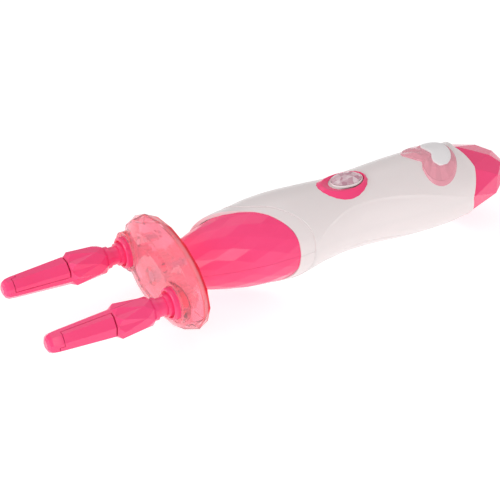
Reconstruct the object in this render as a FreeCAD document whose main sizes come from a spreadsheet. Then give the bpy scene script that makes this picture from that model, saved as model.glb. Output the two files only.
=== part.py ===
"""Battery hair braider: a handle with a motor and gear train that turns an oval head,
and two clip spindles on the head that are spun by gears as it turns.

Everything is drawn from the head's rear rim plane: x runs along the handle, with the
spindles at negative x and the handle at positive x, and z is up. Each finished piece is
then moved by -body_length, so that the origin is the middle of the rear end face.
"""
import FreeCAD, Part
import math
import os
import re

import Sketcher
from FreeCAD import Placement, Rotation, Vector

os.makedirs("parts", exist_ok=True)
doc = FreeCAD.newDocument("HairBraider")

# ---------------------------------------------------------------------------
# Driving dimensions, in millimetres, degrees or counts
# ---------------------------------------------------------------------------
SIZES = [
    # overall and general fits
    ("cap_length", 29, "rear cap from its seam to the rear end face"),
    ("body_length", "=cap_seam_x + cap_length", "head's rear rim to the rear end face"),
    ("wall", 2.0, "moulded wall of the handle"),
    ("fit_gap", 0.15, "gap between mouldings that seat in each other"),
    ("seat_gap", 0.25, "gap round a piece that drops into a pocket"),
    ("seam_gap", 0.1, "gap between the upper and lower halves"),
    ("run_gap", 0.05, "radial clearance of a shaft in its bore"),
    # faceted nose cone
    ("cone_radius", 21.67, "largest radius of the facet corners"),
    ("cone_crest_x", 57, "where that radius lies"),
    ("facet_pitch", 9.2, "spacing of the rings of facet corners"),
    ("facet_ring_x", 52.3, "place of the last full ring"),
    ("facet_count", 18, "diamonds round the cone"),
    ("nose_front_x", 1.2, "front end of the cone"),
    ("nose_wall_x", 4.0, "back of the cone's front wall"),
    ("nose_rear_x", 66, "end of the skirt inside the handle"),
    ("skirt_radius", 19.4, "outside of that skirt"),
    ("nose_bore_radius", 17.6, "bore of the skirt"),
    ("skirt_taper_x", 41, "where the skirt begins to follow the cone"),
    ("skirt_depth", 1.0, "tapered skirt below the facet corners"),
    ("edge_gap", 0.25, "gap between the cone's facets and the white lip's edge"),
    # rear cap
    ("cap_seam_step", 6.6, "rear screws to the cap's seam"),
    ("cap_seam_x", "=rear_screw_x + cap_seam_step", "cap seam at the sides"),
    ("cap_zigzag", 3.8, "how far the seam's corners lie behind that"),
    ("cap_facets", 8, "corners round the cap"),
    ("cap_root_radius", 19.5, "cap at its seam"),
    ("cap_shoulder_x", "=cap_seam_x + cap_length * 18.8 / 29", "ring of corners at the shoulder"),
    ("cap_shoulder_radius", 16.1, "their radius"),
    ("cap_brow_x", "=cap_seam_x + cap_length * 25.5 / 29", "last ring of corners"),
    ("cap_brow_radius", 11.8, "their radius"),
    ("cap_face_radius", 7.4, "flat rear end face"),
    ("cap_spigot_x", "=cap_seam_x - 2.8", "front of the spigot inside the handle"),
    ("cap_spigot_radius", 16.6, "outside of the spigot"),
    # head
    ("head_half_width", 37.6, "half-width of the head's rear rim"),
    ("head_half_height", 23.9, "half-height of the rear rim"),
    ("head_swell", 1.05, "largest section against the rear rim"),
    ("head_swell_x", -3.5, "where it lies"),
    ("head_shoulder_x", -8.2, "ring of corners at the front shoulder"),
    ("head_brow_x", -11.4, "ring of corners on the front slope"),
    ("head_front_x", -12.8, "flat front face"),
    ("head_facets", 16, "corners round the head"),
    ("head_wall", 1.8, "wall of the clear cover"),
    ("back_plate", 1.8, "thickness of the head's back plate"),
    ("spindle_spacing", 50, "distance between the spindles"),
    ("socket_radius", 10.2, "raised ring round each spindle"),
    ("socket_rim_x", -13.4, "front of that ring"),
    ("socket_floor_x", -12.2, "floor of its recess"),
    ("flange_radius", 8.0, "spindle flange in the recess"),
    # gears in the head, module 1
    ("head_module", 1.0, "tooth size of the head's gears"),
    ("sun_teeth", 20, "fixed sun gear"),
    ("idler_teeth", 10, "idler gears"),
    ("planet_teeth", 10, "planet gears on the spindles"),
    ("head_addendum", 0.65, "tooth tips above the pitch circle, in modules"),
    ("head_gear_x", -7.2, "front of the head's gears"),
    ("head_gear_width", 4.0, "width of the head's gears"),
    ("sleeve_radius", 5.0, "sleeve that holds the sun gear"),
    ("sleeve_flange_radius", 8.4, "its flange in the cone"),
    ("sleeve_flange", 2.4, "thickness of that flange"),
    ("bush_wall", 1.0, "bearing bush in the sleeve"),
    ("drive_radius", 3.0, "drive shaft"),
    ("journal_radius", 1.5, "thin end of the drive shaft"),
    # reduction gears, module 0.5
    ("train_module", 0.5, "tooth size of the reduction gears"),
    ("wheel_teeth", 26, "large reduction gears"),
    ("pinion_teeth", 8, "small reduction gears"),
    ("train_addendum", 0.5, "tooth tips above the pitch circle, in modules"),
    ("train_x", 24.0, "front of the output gear"),
    ("train_width", 3.0, "width of each reduction gear"),
    ("train_step", 4.0, "spacing of the three gear stages"),
    ("axle_radius", 1.0, "axle of the offset gear"),
    ("front_plate_x", 21.0, "front gearbox plate"),
    ("rear_plate_x", 38.0, "rear gearbox plate"),
    ("gear_plate", 2.0, "thickness of the gearbox plates"),
    ("front_plate_radius", 13.9, "front gearbox plate"),
    ("rear_plate_radius", 17.3, "rear gearbox plate"),
    # motor
    ("motor_radius", 10.0, "can of the motor"),
    ("motor_flat", 15.1, "across the flats of the can"),
    ("motor_length", 25, "can of the motor"),
    ("motor_shaft_radius", 1.0, "motor shaft"),
    # cells
    ("cell_radius", 7.1, "AA cell"),
    ("cell_length", 50.5, "AA cell with its nipple"),
    ("cell_spacing", 14.8, "distance between the two cells"),
    ("cell_z", -2.0, "height of the cells' axes"),
    ("tray_x", 96.0, "front of the battery tray"),
    ("tray_wall", 1.8, "end walls of the tray"),
    ("tray_half_width", 13.5, "half-width of the tray"),
    ("contact_length", 2.4, "spring contact when squeezed"),
    ("contact_sheet", 0.4, "contact plate"),
    ("bay_length", "=cell_length + contact_length + 2 * contact_sheet + 0.4", "tray between its end walls"),
    # battery door
    ("door_lead", 5.5, "front edge of the battery door before the tray"),
    ("door_x", "=tray_x - door_lead", "front edge of the battery door"),
    ("door_spare", 11.5, "how much longer the door is than a cell"),
    ("door_length", "=cell_length + door_spare", "length of the battery door"),
    ("door_half_width", 15.2, "half-width of the battery door"),
    # push button
    ("button_x", 95, "middle of the button"),
    ("bezel_half_length", 14.2, "bezel at the handle's surface"),
    ("bezel_half_width", 11.0, "bezel at the handle's surface"),
    ("bezel_lean", 3.4, "how far its long sides lean in"),
    ("bezel_top_z", 21.6, "top edge of the bezel"),
    ("bezel_slope", 2.3, "how far its ends lean in"),
    ("button_half_length", 11.2, "button inside the bezel"),
    ("button_half_width", 6.6, "button inside the bezel"),
    ("button_gap", 0.3, "gap round the button"),
    ("button_travel", 1.0, "how far the button is pressed"),
    ("button_foot_z", 15.0, "underside of the button"),
    ("stone_rise", 1.7, "height of the stone above the button"),
    ("board_z", 8.6, "underside of the circuit board"),
    ("board_thickness", 1.6, "circuit board"),
    # bow and label
    ("bow_lead", 14, "middle of the bow before the cap's seam"),
    ("bow_x", "=cap_seam_x - bow_lead", "middle of the bow"),
    ("bow_half_span", 17.7, "middle of the bow to the end of a loop"),
    ("bow_half_length", 12.2, "half the bow's size along the handle"),
    ("bow_rise", 0.9, "bow above the handle"),
    ("bow_recess", 0.8, "bow's seat in the handle"),
    ("label_x", "=bow_x + 3", "middle of the oval label"),
    ("label_half_span", 11.2, "half the label's size across the handle"),
    ("label_half_length", 6.6, "half its size along the handle"),
    ("label_thickness", 0.7, "label plate"),
    # spindles
    ("clip_roll_left", 8, "turn of the near clip about its spindle at rest"),
    ("clip_roll_right", -90, "turn of the far clip about its spindle at rest"),
    ("tip_x", -78.8, "tip of the spindles"),
    ("lever_tip_x", -73.6, "seam between tip and lever"),
    ("finger_root_x", -46.3, "rear end of the tapering finger"),
    ("finger_tip_radius", 5.4, "finger at the lever's tip"),
    ("finger_root_radius", 7.1, "finger at its rear end"),
    ("barrel_front_x", -45.4, "front face of the barrel"),
    ("barrel_notch_radius", 6.7, "notches between the lobes of its front edge"),
    ("barrel_radius", 8.6, "corners of the barrel's fat ring"),
    ("barrel_rear_x", -26.2, "rear ring of the barrel"),
    ("barrel_rear_radius", 7.2, "rear ring of the barrel"),
    ("neck_radius", 4.65, "neck between barrel and head"),
    ("neck_rear_x", -17.6, "rear end of the neck"),
    ("spindle_journal_radius", 4.0, "spindle in the cover's bearing"),
    ("planet_seat_radius", 2.5, "spindle in its gear and back plate"),
    ("grip_gap", 0.3, "gap between finger and lever when closed"),
    ("pivot_x", -41.0, "clip pin along the spindle"),
    ("pivot_y", -3.6, "clip pin off the spindle's axis"),
    ("pin_radius", 1.0, "clip pin"),
    ("lever_half_width", 2.7, "lever's tongue in the barrel's slot"),
    ("lever_back_y", -4.5, "outer face of that tongue"),
    ("slot_gap", 0.3, "gap beside the lever's tongue"),
    ("slot_roof_y", -5.6, "outer wall of the slot, clear of the opened tongue"),
    ("tab_length", 2.1, "tab of the tip that laps over one side of the lever"),
    # screws
    ("boss_radius", 2.8, "screw bosses"),
    ("screw_radius", 1.2, "screw shank"),
    ("screw_head_radius", 2.3, "screw head"),
    ("screw_head", 1.5, "height of a screw head"),
    ("front_screw_x", 74, "front pair of screws"),
    ("rear_screw_step", 4.7, "rear end of the battery tray to the rear screws"),
    ("rear_screw_x", "=tray_x + 2 * tray_wall + bay_length + rear_screw_step", "rear pair of screws"),
    ("screw_y", 12.4, "screws off the middle"),
]

# The handle's outline: at each station the round crown on top, and the oval that the
# hollowed flanks follow: half its width, how much taller it is, and how far it is raised.
STATIONS = [
    # name       x    crown  side  taller  lift
    ("nose",     34,  20.9,  21.1, 0.1,    0),
    ("brow",     40,  21.4,  21.6, 0.1,    0),
    ("lip",      46,  22.2,  22.4, 0.1,    0),
    ("collar",   58,  22.6,  22.7, 0.1,    0),
    ("shoulder", 67,  22.3,  22.2, 0.1,    0.6),
    ("flank",    79,  21.5,  20.0, 1.4,    1.6),
    ("waist",    95,  20.4,  17.9, 3.0,    2.0),
    ("palm",     110, 20.9,  18.4, 3.0,    2.0),
    ("swell",    125, 21.5,  19.9, 2.0,    1.4),
    ("heel",     "=cap_seam_x - 25", 21.6, 21.1, 0.7, 0.8),
    ("bow_end",  "=cap_seam_x - 9", 21.1, 21.0, 0.2, 0.3),
    ("tail",     "=cap_seam_x + 8", 18.9, 19.0, 0.2, 0),
]

# The white lip's edge round the cone, and the step behind it, cross the body at a slant:
# how far back each lies, from the near side (negative) to the far side of the axis.
EDGES = {
    "lip_edge": [(-26, 59.7), (-21.7, 59.3), (-18.3, 57.8), (-13.8, 53.9), (-7.6, 48.1), (-1.3, 40.6), (2.8, 34.8),
                 (7.7, 28.4), (12, 22.9), (16.2, 18.0), (21, 15.2), (26, 13.8)],
    "step_edge": [(-26, 68.1), (-21.3, 67.7), (-17.6, 65.7), (-11.3, 59.1), (-4.6, 51.6), (-1.4, 46.4), (1.2, 42.6),
                  (4.6, 39.7), (9, 37.3), (14, 35.8), (20, 35.0), (26, 34.7)],
}
# The lip's outside: x and radius
LIP = [(13, 16.0), (18.7, 17.8), (21, 18.6), (24, 19.45), (29, 20.3), (33, 20.65), (37, 20.85), (41, 21.1),
       (47, 21.66), (54, 21.95), (59, 22.07), (65, 21.85), (72, 21.2)]
KEYS = "abcdefghijklm"
for edge, points in EDGES.items():
    for key, (y, x) in zip(KEYS, points):
        SIZES += [("%s_%s_y" % (edge, key), y, "point of the edge, off the middle"),
                  ("%s_%s_x" % (edge, key), x, "point of the edge, along the handle")]
for key, (x, radius) in zip(KEYS, LIP):
    SIZES += [("lip_%s_x" % key, x, "station of the white lip"),
              ("lip_%s_radius" % key, radius, "outside of the white lip there")]
for station, x, crown, side, taller, lift in STATIONS:
    SIZES += [
        (station + "_x", x, "station of the handle"),
        (station + "_crown", crown, "radius of the crown there"),
        (station + "_side", side, "half-width of the flanks there"),
        (station + "_taller", taller, "how much taller than wide the flanks are"),
        (station + "_lift", lift, "how far the flanks are raised"),
    ]

sheet = doc.addObject("Spreadsheet::Sheet", "sizes")
size = {}
for row, (alias, number, meaning) in enumerate(SIZES, 1):
    sheet.set("A%d" % row, meaning)
    sheet.setAlias("B%d" % row, alias)
for row, (alias, number, meaning) in enumerate(SIZES, 1):
    sheet.set("B%d" % row, str(number))
doc.recompute()
for alias, number, meaning in SIZES:
    size[alias] = float(sheet.get(alias))


# ---------------------------------------------------------------------------
# Ways of building
# ---------------------------------------------------------------------------
ALIAS = re.compile(r"[a-z][a-z_]*")
ALONG_X = Rotation(Vector(0, 0, -1), Vector(0, 1, 0), Vector(1, 0, 0), "ZXY")
UPRIGHT = Rotation(Vector(0, 0, 1), Vector(0, -1, 0), Vector(1, 0, 0), "ZXY")
FLAT_LENGTHWAYS = Rotation()
FLAT_CROSSWAYS = Rotation(Vector(0, 0, 1), 90)
SIDEWAYS_UP = Rotation(Vector(0, 0, 1), Vector(1, 0, 0), Vector(0, 1, 0), "ZXY")
finished = []


def formula(text):
    """Point the size names in a formula at the sheet's cells."""
    return ALIAS.sub(lambda m: "sizes." + m.group() if m.group() in size else m.group(), str(text))


def place(thing, x="0", y="0", z="0", turn=None):
    """Set a thing's rotation, and bind its position to the sheet."""
    if turn is not None:
        thing.Placement = Placement(Vector(), turn)
    for axis, text in (("x", x), ("y", y), ("z", z)):
        if str(text) != "0":
            thing.setExpression("Placement.Base." + axis, formula(text))
    return thing


def rod(name, radius, length, x, y="0", z="0", turn=ALONG_X):
    """A cylinder, by default along x."""
    thing = doc.addObject("Part::Cylinder", name)
    thing.setExpression("Radius", formula(radius))
    thing.setExpression("Height", formula(length))
    return place(thing, x, y, z, turn)


def post(name, radius, height, x, y, z):
    """An upright cylinder."""
    return rod(name, radius, height, x, y, z, FLAT_LENGTHWAYS)


def block(name, length, width, height, x, y, z):
    """A box from its lowest corner."""
    thing = doc.addObject("Part::Box", name)
    thing.setExpression("Length", formula(length))
    thing.setExpression("Width", formula(width))
    thing.setExpression("Height", formula(height))
    return place(thing, x, y, z)


def cut(name, base, tool):
    thing = doc.addObject("Part::Cut", name)
    thing.Base = base
    thing.Tool = tool
    return thing


def fuse(name, *things):
    thing = doc.addObject("Part::MultiFuse", name)
    thing.Shapes = list(things)
    return thing


def common(name, *things):
    thing = doc.addObject("Part::MultiCommon", name)
    thing.Shapes = list(things)
    return thing


def circle(name, radius, x):
    thing = doc.addObject("Part::Circle", name)
    thing.setExpression("Radius", formula(radius))
    return place(thing, x, turn=ALONG_X)


def oval(name, major, minor, x, y="0", z="0", turn=UPRIGHT):
    """An ellipse whose longer half is major; by default it stands upright across x."""
    thing = doc.addObject("Part::Ellipse", name)
    thing.MajorRadius = 1000
    thing.setExpression("MajorRadius", formula(major))
    thing.setExpression("MinorRadius", formula(minor))
    return place(thing, x, y, z, turn)


def loft(name, sections, ruled=False):
    thing = doc.addObject("Part::Loft", name)
    thing.Sections = sections
    thing.Solid = True
    thing.Ruled = ruled
    return thing


def oval_prism(name, major, minor, x, z, height, turn=FLAT_LENGTHWAYS):
    """An upright prism with an oval section."""
    lower = oval(name + "_foot", major, minor, x, z=z, turn=turn)
    upper = oval(name + "_head", major, minor, x, z="%s + %s" % (z, height), turn=turn)
    return loft(name, [lower, upper], ruled=True)


def turned(name, profile):
    """A turned piece about the x axis, from a closed profile of (x, radius) corners."""
    body = doc.addObject("PartDesign::Body", name)
    flat = next(f for f in body.Origin.OriginFeatures if f.Role == "XY_Plane")
    sketch = body.newObject("Sketcher::SketchObject", name + "_profile")
    sketch.AttachmentSupport = [(flat, "")]
    sketch.MapMode = "FlatFace"
    count = len(profile)
    start = [Vector(9 * math.cos(2 * math.pi * i / count), 20 + 9 * math.sin(2 * math.pi * i / count), 0)
             for i in range(count)]
    for i in range(count):
        sketch.addGeometry(Part.LineSegment(start[i], start[(i + 1) % count]), False)
    for i in range(count):
        sketch.addConstraint(Sketcher.Constraint("Coincident", i, 2, (i + 1) % count, 1))
    for i, (x, radius) in enumerate(profile):
        across = sketch.addConstraint(Sketcher.Constraint("DistanceX", -1, 1, i, 1, 1.0))
        sketch.setExpression("Constraints[%d]" % across, formula(x))
        if str(radius) == "0":
            sketch.addConstraint(Sketcher.Constraint("PointOnObject", i, 1, -1))
        else:
            up = sketch.addConstraint(Sketcher.Constraint("DistanceY", -1, 1, i, 1, 1.0))
            sketch.setExpression("Constraints[%d]" % up, formula(radius))
    spin = body.newObject("PartDesign::Revolution", name + "_turned")
    spin.Profile = sketch
    spin.ReferenceAxis = (sketch, ["H_Axis"])
    spin.Angle = 360
    return body


def feature(name, shape):
    thing = doc.addObject("Part::Feature", name)
    thing.Shape = shape
    return thing


def ring(x, half_width, half_height, count, shifted, centre=(0, 0)):
    """Corners round the x axis, and whether they are shifted by half a step."""
    corners = []
    for i in range(count):
        angle = 2 * math.pi * (i + 0.5 * shifted) / count
        corners.append(Vector(x, centre[0] + half_width * math.cos(angle),
                              centre[1] + half_height * math.sin(angle)))
    return corners, shifted


def upright_ring(z, half_length, half_width, count, shifted, centre_x):
    """The same about an upright axis, for pieces that stand on the handle."""
    corners = []
    for i in range(count):
        angle = 2 * math.pi * (i + 0.5 * shifted) / count
        corners.append(Vector(centre_x + half_length * math.cos(angle), half_width * math.sin(angle), z))
    return corners, shifted


def faceted(rings):
    """A closed solid with flat facets between rings of corners.

    Rings that are shifted against each other by half a step are joined by triangles,
    which merge into diamonds where they lie in one plane.
    """
    faces = []

    def facet(*corners):
        faces.append(Part.Face(Part.makePolygon(list(corners) + [corners[0]])))

    for (low, low_shift), (high, high_shift) in zip(rings, rings[1:]):
        count = len(low)
        for i in range(count):
            j = (i + 1) % count
            if low_shift == high_shift:
                facet(low[i], low[j], high[j])
                facet(low[i], high[j], high[i])
            elif high_shift:
                facet(low[i], low[j], high[i])
                facet(low[j], high[j], high[i])
            else:
                facet(high[i], high[j], low[i])
                facet(high[j], low[j], low[i])
    facet(*rings[0][0])
    facet(*rings[-1][0])
    solid = Part.makeSolid(Part.makeShell(faces))
    if solid.Volume < 0:
        solid.reverse()
    return solid.removeSplitter()


def gear(kind, teeth, width, bore, x, tooth_up=True):
    """A spur gear about x with involute stub teeth; one tooth points up, or one gap does."""
    module = size[kind + "_module"]
    teeth = int(size[teeth])
    pressure = math.radians(20)
    pitch = module * teeth / 2
    base = pitch * math.cos(pressure)
    tip = pitch + size[kind + "_addendum"] * module
    root = pitch - 1.0 * module
    play = 0.05 * module

    def involute(radius):
        roll = math.acos(min(1.0, base / radius))
        return math.tan(roll) - roll

    def half_angle(radius):
        return math.pi / (2 * teeth) - play / pitch + involute(pitch) - involute(radius)

    flank = [(root, half_angle(base) * 0.86), (max(base, root + 0.1 * module), half_angle(base)),
             ((pitch + tip) / 2, half_angle((pitch + tip) / 2)), (tip, half_angle(tip))]
    corners = []
    for tooth in range(teeth):
        middle = 2 * math.pi * (tooth + (0 if tooth_up else 0.5)) / teeth
        for radius, half in flank:
            corners.append(Vector(x, radius * math.sin(middle - half), radius * math.cos(middle - half)))
        for radius, half in reversed(flank):
            corners.append(Vector(x, radius * math.sin(middle + half), radius * math.cos(middle + half)))
    blank = Part.Face(Part.makePolygon(corners + [corners[0]]))
    solid = blank.extrude(Vector(width, 0, 0))
    hole = Part.makeCylinder(bore, width + 2, Vector(x - 1, 0, 0), Vector(1, 0, 0))
    return solid.cut(hole)


def coil(wire, radius, length, turns, start, axis):
    """A helical spring of square-cornered wire, as a closed faceted solid."""
    steps = 10 * turns
    turn = Rotation(Vector(0, 0, 1), axis)
    rings = []
    for i in range(steps + 1):
        angle = 2 * math.pi * i / 10
        rise = wire + (length - 2 * wire) * i / steps
        out = Vector(math.cos(angle), math.sin(angle), 0)
        middle = out * radius + Vector(0, 0, rise)
        up = Vector(0, 0, 1)
        corners = [middle + out * wire, middle + up * wire, middle - out * wire, middle - up * wire]
        rings.append(([start + turn.multVec(c) for c in corners], 0))
    return faceted(rings)


def finish(thing, node, x="-body_length", y="0", z="0", turn=None):
    """Name a finished piece and move it into the part's own frame."""
    thing.Label = node
    place(thing, x, y, z, turn)
    finished.append(thing)
    return thing


# ---------------------------------------------------------------------------
# Handle: outline, cavity, and the oval edges of its front
# ---------------------------------------------------------------------------
def flank_reach(station, offset, angle):
    """How far the raised oval lies from the axis, at an angle from the top."""
    wide = size[station + "_side"] + offset
    tall = wide + size[station + "_taller"]
    lift = size[station + "_lift"]
    across, up = math.sin(angle), math.cos(angle)
    a = (across / wide) ** 2 + (up / tall) ** 2
    b = up * lift / tall ** 2
    return (b + math.sqrt(b * b - a * ((lift / tall) ** 2 - 1))) / a


def crease_angle(station):
    """Where the crown ends and the hollowed flank begins, as an angle from the top."""
    for step in range(45, 56):
        angle = math.radians(step)
        if flank_reach(station, 0, angle) < size[station + "_crown"]:
            return angle
    return math.radians(56)


def handle_section(station, offset):
    """The handle's outline at a station: a round crown, and flanks that follow the oval."""
    x = size[station + "_x"]
    crown = size[station + "_crown"] + offset
    crease = crease_angle(station)

    def corner(angle, reach):
        return Vector(x, reach * math.sin(angle), reach * math.cos(angle))

    arc = Part.Arc(corner(-crease, crown), corner(0, crown), corner(crease, crown))
    belly = []
    for step in range(0, 17):
        angle = crease + (2 * math.pi - 2 * crease) * step / 16
        reach = crown if step in (0, 16) else min(crown, flank_reach(station, offset, angle))
        belly.append(corner(angle, reach))
    curve = Part.BSplineCurve()
    curve.interpolate(belly)
    return Part.Wire([arc.toShape(), curve.toShape()])


def handle_form(name, offset):
    """The handle's outline along its whole length, grown or shrunk by offset."""
    return loft(name, [feature("%s_%s" % (name, s[0]), handle_section(s[0], offset)) for s in STATIONS])


def front_space(name, edge, inset):
    """Everything in front of an edge that crosses the body at a slant, as a tool."""
    points = [Vector(size["%s_%s_x" % (edge, key)] + inset, size["%s_%s_y" % (edge, key)], -60)
              for key in KEYS[:len(EDGES[edge])]]
    curve = Part.BSplineCurve()
    curve.interpolate(points)
    rim = [points[-1], Vector(-60, points[-1].y, -60), Vector(-60, points[0].y, -60), points[0]]
    face = Part.Face(Part.Wire([curve.toShape(), *Part.makePolygon(rim).Edges]))
    return feature(name, face.extrude(Vector(0, 0, 120)))


cone_at = "cone_radius * cos(180 / facet_count * (cone_crest_x - (%s)) / facet_pitch)"
lip_keys = KEYS[:len(LIP)]
lip_band = turned("lip_band", [("lip_%s_x" % lip_keys[0], "0"), ("lip_%s_x" % lip_keys[-1], "0")]
                  + [("lip_%s_x" % key, "lip_%s_radius" % key) for key in reversed(lip_keys)])
cone_opening = front_space("cone_opening", "lip_edge", 0)
step_edge = front_space("step_space", "step_edge", 0)
SKIRT = ["skirt_taper_x - %d" % back for back in (2, 8, 14, 20, 26, 33)]
handle_solid = handle_form("handle_solid", 0)
handle_rough = fuse("handle_rough", cut("lip", lip_band, cone_opening),
                    cut("handle_body", handle_solid, step_edge))

# the cap's zigzag seam, as everything behind it
def cap_zone(offset):
    count = int(size["cap_facets"])
    centre = Vector(size["cap_seam_x"] + offset + size["cap_zigzag"] / 2, 0, 0)
    lean = size["cap_zigzag"] / 2 / size["cap_root_radius"]
    corners = []
    for i in range(count):
        angle = 2 * math.pi * i / count
        reach = lean * 40 * (1 if i % 2 else -1)
        corners.append(centre + Vector(reach, 40 * math.cos(angle), 40 * math.sin(angle)))
    back = [Vector(size["body_length"] + 20, c.y, c.z) for c in corners]
    faces = []
    for i in range(count):
        j = (i + 1) % count
        faces.append(Part.Face(Part.makePolygon([centre, corners[i], corners[j], centre])))
        faces.append(Part.Face(Part.makePolygon([corners[i], corners[j], back[j], corners[i]])))
        faces.append(Part.Face(Part.makePolygon([corners[i], back[j], back[i], corners[i]])))
    faces.append(Part.Face(Part.makePolygon(back + [back[0]])))
    solid = Part.makeSolid(Part.makeShell(faces))
    if solid.Volume < 0:
        solid.reverse()
    return solid


handle_outer = cut("handle_outer", handle_rough, feature("cap_space", cap_zone(0)))
band_bore = turned("band_bore", [(SKIRT[-1], "0"), ("shoulder_x - 0.6", "0"), ("shoulder_x - 0.6", "skirt_radius + fit_gap"),
                                 ("skirt_taper_x", "skirt_radius + fit_gap")]
                   + [(x, cone_at % x + " - skirt_depth + fit_gap") for x in SKIRT])
handle_cavity = fuse("handle_cavity", band_bore,
                     common("cavity_reach", handle_form("cavity", -size["wall"]),
                            block("cavity_span", "body_length", "120", "120", "shoulder_x - 0.8", "-60", "-60")))
handle_skin = cut("handle_skin", handle_outer, handle_cavity)

upper_half = block("upper_half", "400", "120", "60", "-100", "-60", "seam_gap / 2")
lower_half = block("lower_half", "400", "120", "60", "-100", "-60", "-60 - seam_gap / 2")

# screw bosses stand between the skins, and the screws come in from below
SCREWS = [(name, x, side) for name, x in (("front", "front_screw_x"), ("rear", "rear_screw_x"))
          for side in ("", "-")]
SCREW_HEAD_Z = "-9"
bosses = common("bosses", handle_outer, fuse("boss_rods", *[
    post("boss_%s_%d" % (name, i), "boss_radius", "80", x, side + "screw_y", "-40")
    for i, (name, x, side) in enumerate(SCREWS)]))
screw_holes = fuse("screw_holes", *[
    post("screw_hole_%d" % i, "screw_radius + run_gap", "19", x, side + "screw_y", SCREW_HEAD_Z)
    for i, (name, x, side) in enumerate(SCREWS)])
counterbores = fuse("counterbores", *[
    post("counterbore_%d" % i, "screw_head_radius + seat_gap", "30", x, side + "screw_y", SCREW_HEAD_Z + " - 30")
    for i, (name, x, side) in enumerate(SCREWS)])

# ---------------------------------------------------------------------------
# Upper handle shell
# ---------------------------------------------------------------------------
button_hole = oval_prism("button_hole", "button_half_length + button_gap + 1", "button_half_width + button_gap + 1",
                         "button_x", "button_foot_z", "20")


def bow_outline(grow, low, high):
    """The bow seen from above: two loops that lean forward, joined by a waisted knot."""
    length = size["bow_half_length"] + grow
    span = size["bow_half_span"] + grow
    half = [(-0.66, 0.0), (-0.68, 0.22), (-0.97, 0.52), (-0.87, 0.81), (-0.38, 1.0),
            (0.13, 0.955), (0.58, 0.70), (0.90, 0.34), (1.0, 0.0)]
    near = [Vector(size["bow_x"] + length * a, -span * b, low) for a, b in half]
    far = [Vector(size["bow_x"] + length * a, span * b, low) for a, b in half[1:-1]]
    edges = []
    for side in (near, [near[0]] + far + [near[-1]]):
        curve = Part.BSplineCurve()
        curve.interpolate(side)
        edges.append(curve.toShape())
    return Part.Face(Part.Wire(edges)).extrude(Vector(0, 0, high - low))


bow_seat = cut("bow_seat", feature("bow_seat_prism", bow_outline(size["fit_gap"], 5, 40)),
               handle_form("bow_seat_floor", -size["bow_recess"]))
BOARD_POSTS = [("button_x %s 12.5" % a, "%s6.8" % b) for a in "-+" for b in ("", "-")]
board_posts = common("board_posts", handle_outer, fuse("board_post_rods", *[
    post("board_post_%d" % i, "2", "20", x, y, "board_z + board_thickness")
    for i, (x, y) in enumerate(BOARD_POSTS)]))
board_pins = fuse("board_pins", *[
    post("board_pin_%d" % i, "0.9", "board_thickness + 1", x, y, "board_z")
    for i, (x, y) in enumerate(BOARD_POSTS)])
upper_tools = fuse("upper_tools", button_hole, bow_seat, screw_holes)
handle_top = cut("handle_top_shell",
                 fuse("upper_with_bosses", common("upper_skin", handle_skin, upper_half),
                      common("upper_bosses", bosses, upper_half), board_posts, board_pins),
                 upper_tools)
finish(handle_top, "handle_top")

# ---------------------------------------------------------------------------
# Lower handle shell and battery door
# ---------------------------------------------------------------------------
door_opening = block("door_opening", "door_length", "2 * door_half_width", "40", "door_x", "-door_half_width", "-45")
handle_bottom = cut("handle_bottom_shell",
                    fuse("lower_with_bosses", common("lower_skin", handle_skin, lower_half),
                         common("lower_bosses", bosses, lower_half)),
                    fuse("lower_tools", door_opening, screw_holes, counterbores))
finish(handle_bottom, "handle_bottom")

DOOR_SCREW_X = "door_x + 4.5"
DOOR_SCREW_Z = "-13.5"
door_block = block("door_block", "door_length - 2 * seat_gap", "2 * door_half_width - 2 * seat_gap", "40",
                   "door_x + seat_gap", "-door_half_width + seat_gap", "-45")
door_boss = common("door_boss", handle_outer,
                   post("door_boss_rod", "boss_radius", "40", DOOR_SCREW_X, "0", DOOR_SCREW_Z + " - 40"))
door_screw_hole = post("door_screw_hole", "screw_radius + run_gap", "60", DOOR_SCREW_X, "0", "-50")
door_counterbore = post("door_counterbore", "screw_head_radius + seat_gap", "30", DOOR_SCREW_X, "0",
                        DOOR_SCREW_Z + " - 32.2")
battery_door = cut("battery_door_panel",
                   fuse("door_with_boss", common("door_skin", handle_skin, door_block), door_boss),
                   fuse("door_tools", door_screw_hole, door_counterbore))
finish(battery_door, "battery_door")
door_screw = fuse("door_screw_solid",
                  post("door_screw_head", "screw_head_radius", "screw_head", DOOR_SCREW_X, "0",
                       DOOR_SCREW_Z + " - 2.2 - screw_head"),
                  post("door_screw_shank", "screw_radius", "10", DOOR_SCREW_X, "0", DOOR_SCREW_Z + " - 2.2"))
finish(door_screw, "door_screw")
shell_screws = fuse("shell_screw_solids", *[
    fuse("shell_screw_%d" % i,
         post("shell_screw_head_%d" % i, "screw_head_radius", "screw_head", x, side + "screw_y",
              SCREW_HEAD_Z + " - screw_head"),
         post("shell_screw_shank_%d" % i, "screw_radius", "18", x, side + "screw_y", SCREW_HEAD_Z))
    for i, (name, x, side) in enumerate(SCREWS)])
finish(shell_screws, "shell_screws")

# ---------------------------------------------------------------------------
# Faceted nose cone, in two halves
# ---------------------------------------------------------------------------
def cone_rings():
    count = int(size["facet_count"])
    rings = []
    for k in range(-6, 3):
        x = size["facet_ring_x"] + k * size["facet_pitch"]
        turn = math.pi / count * (size["cone_crest_x"] - x) / size["facet_pitch"]
        radius = size["cone_radius"] * math.cos(turn)
        rings.append(ring(x, radius, radius, count, shifted=(k + 1) % 2))
    return rings


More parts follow.
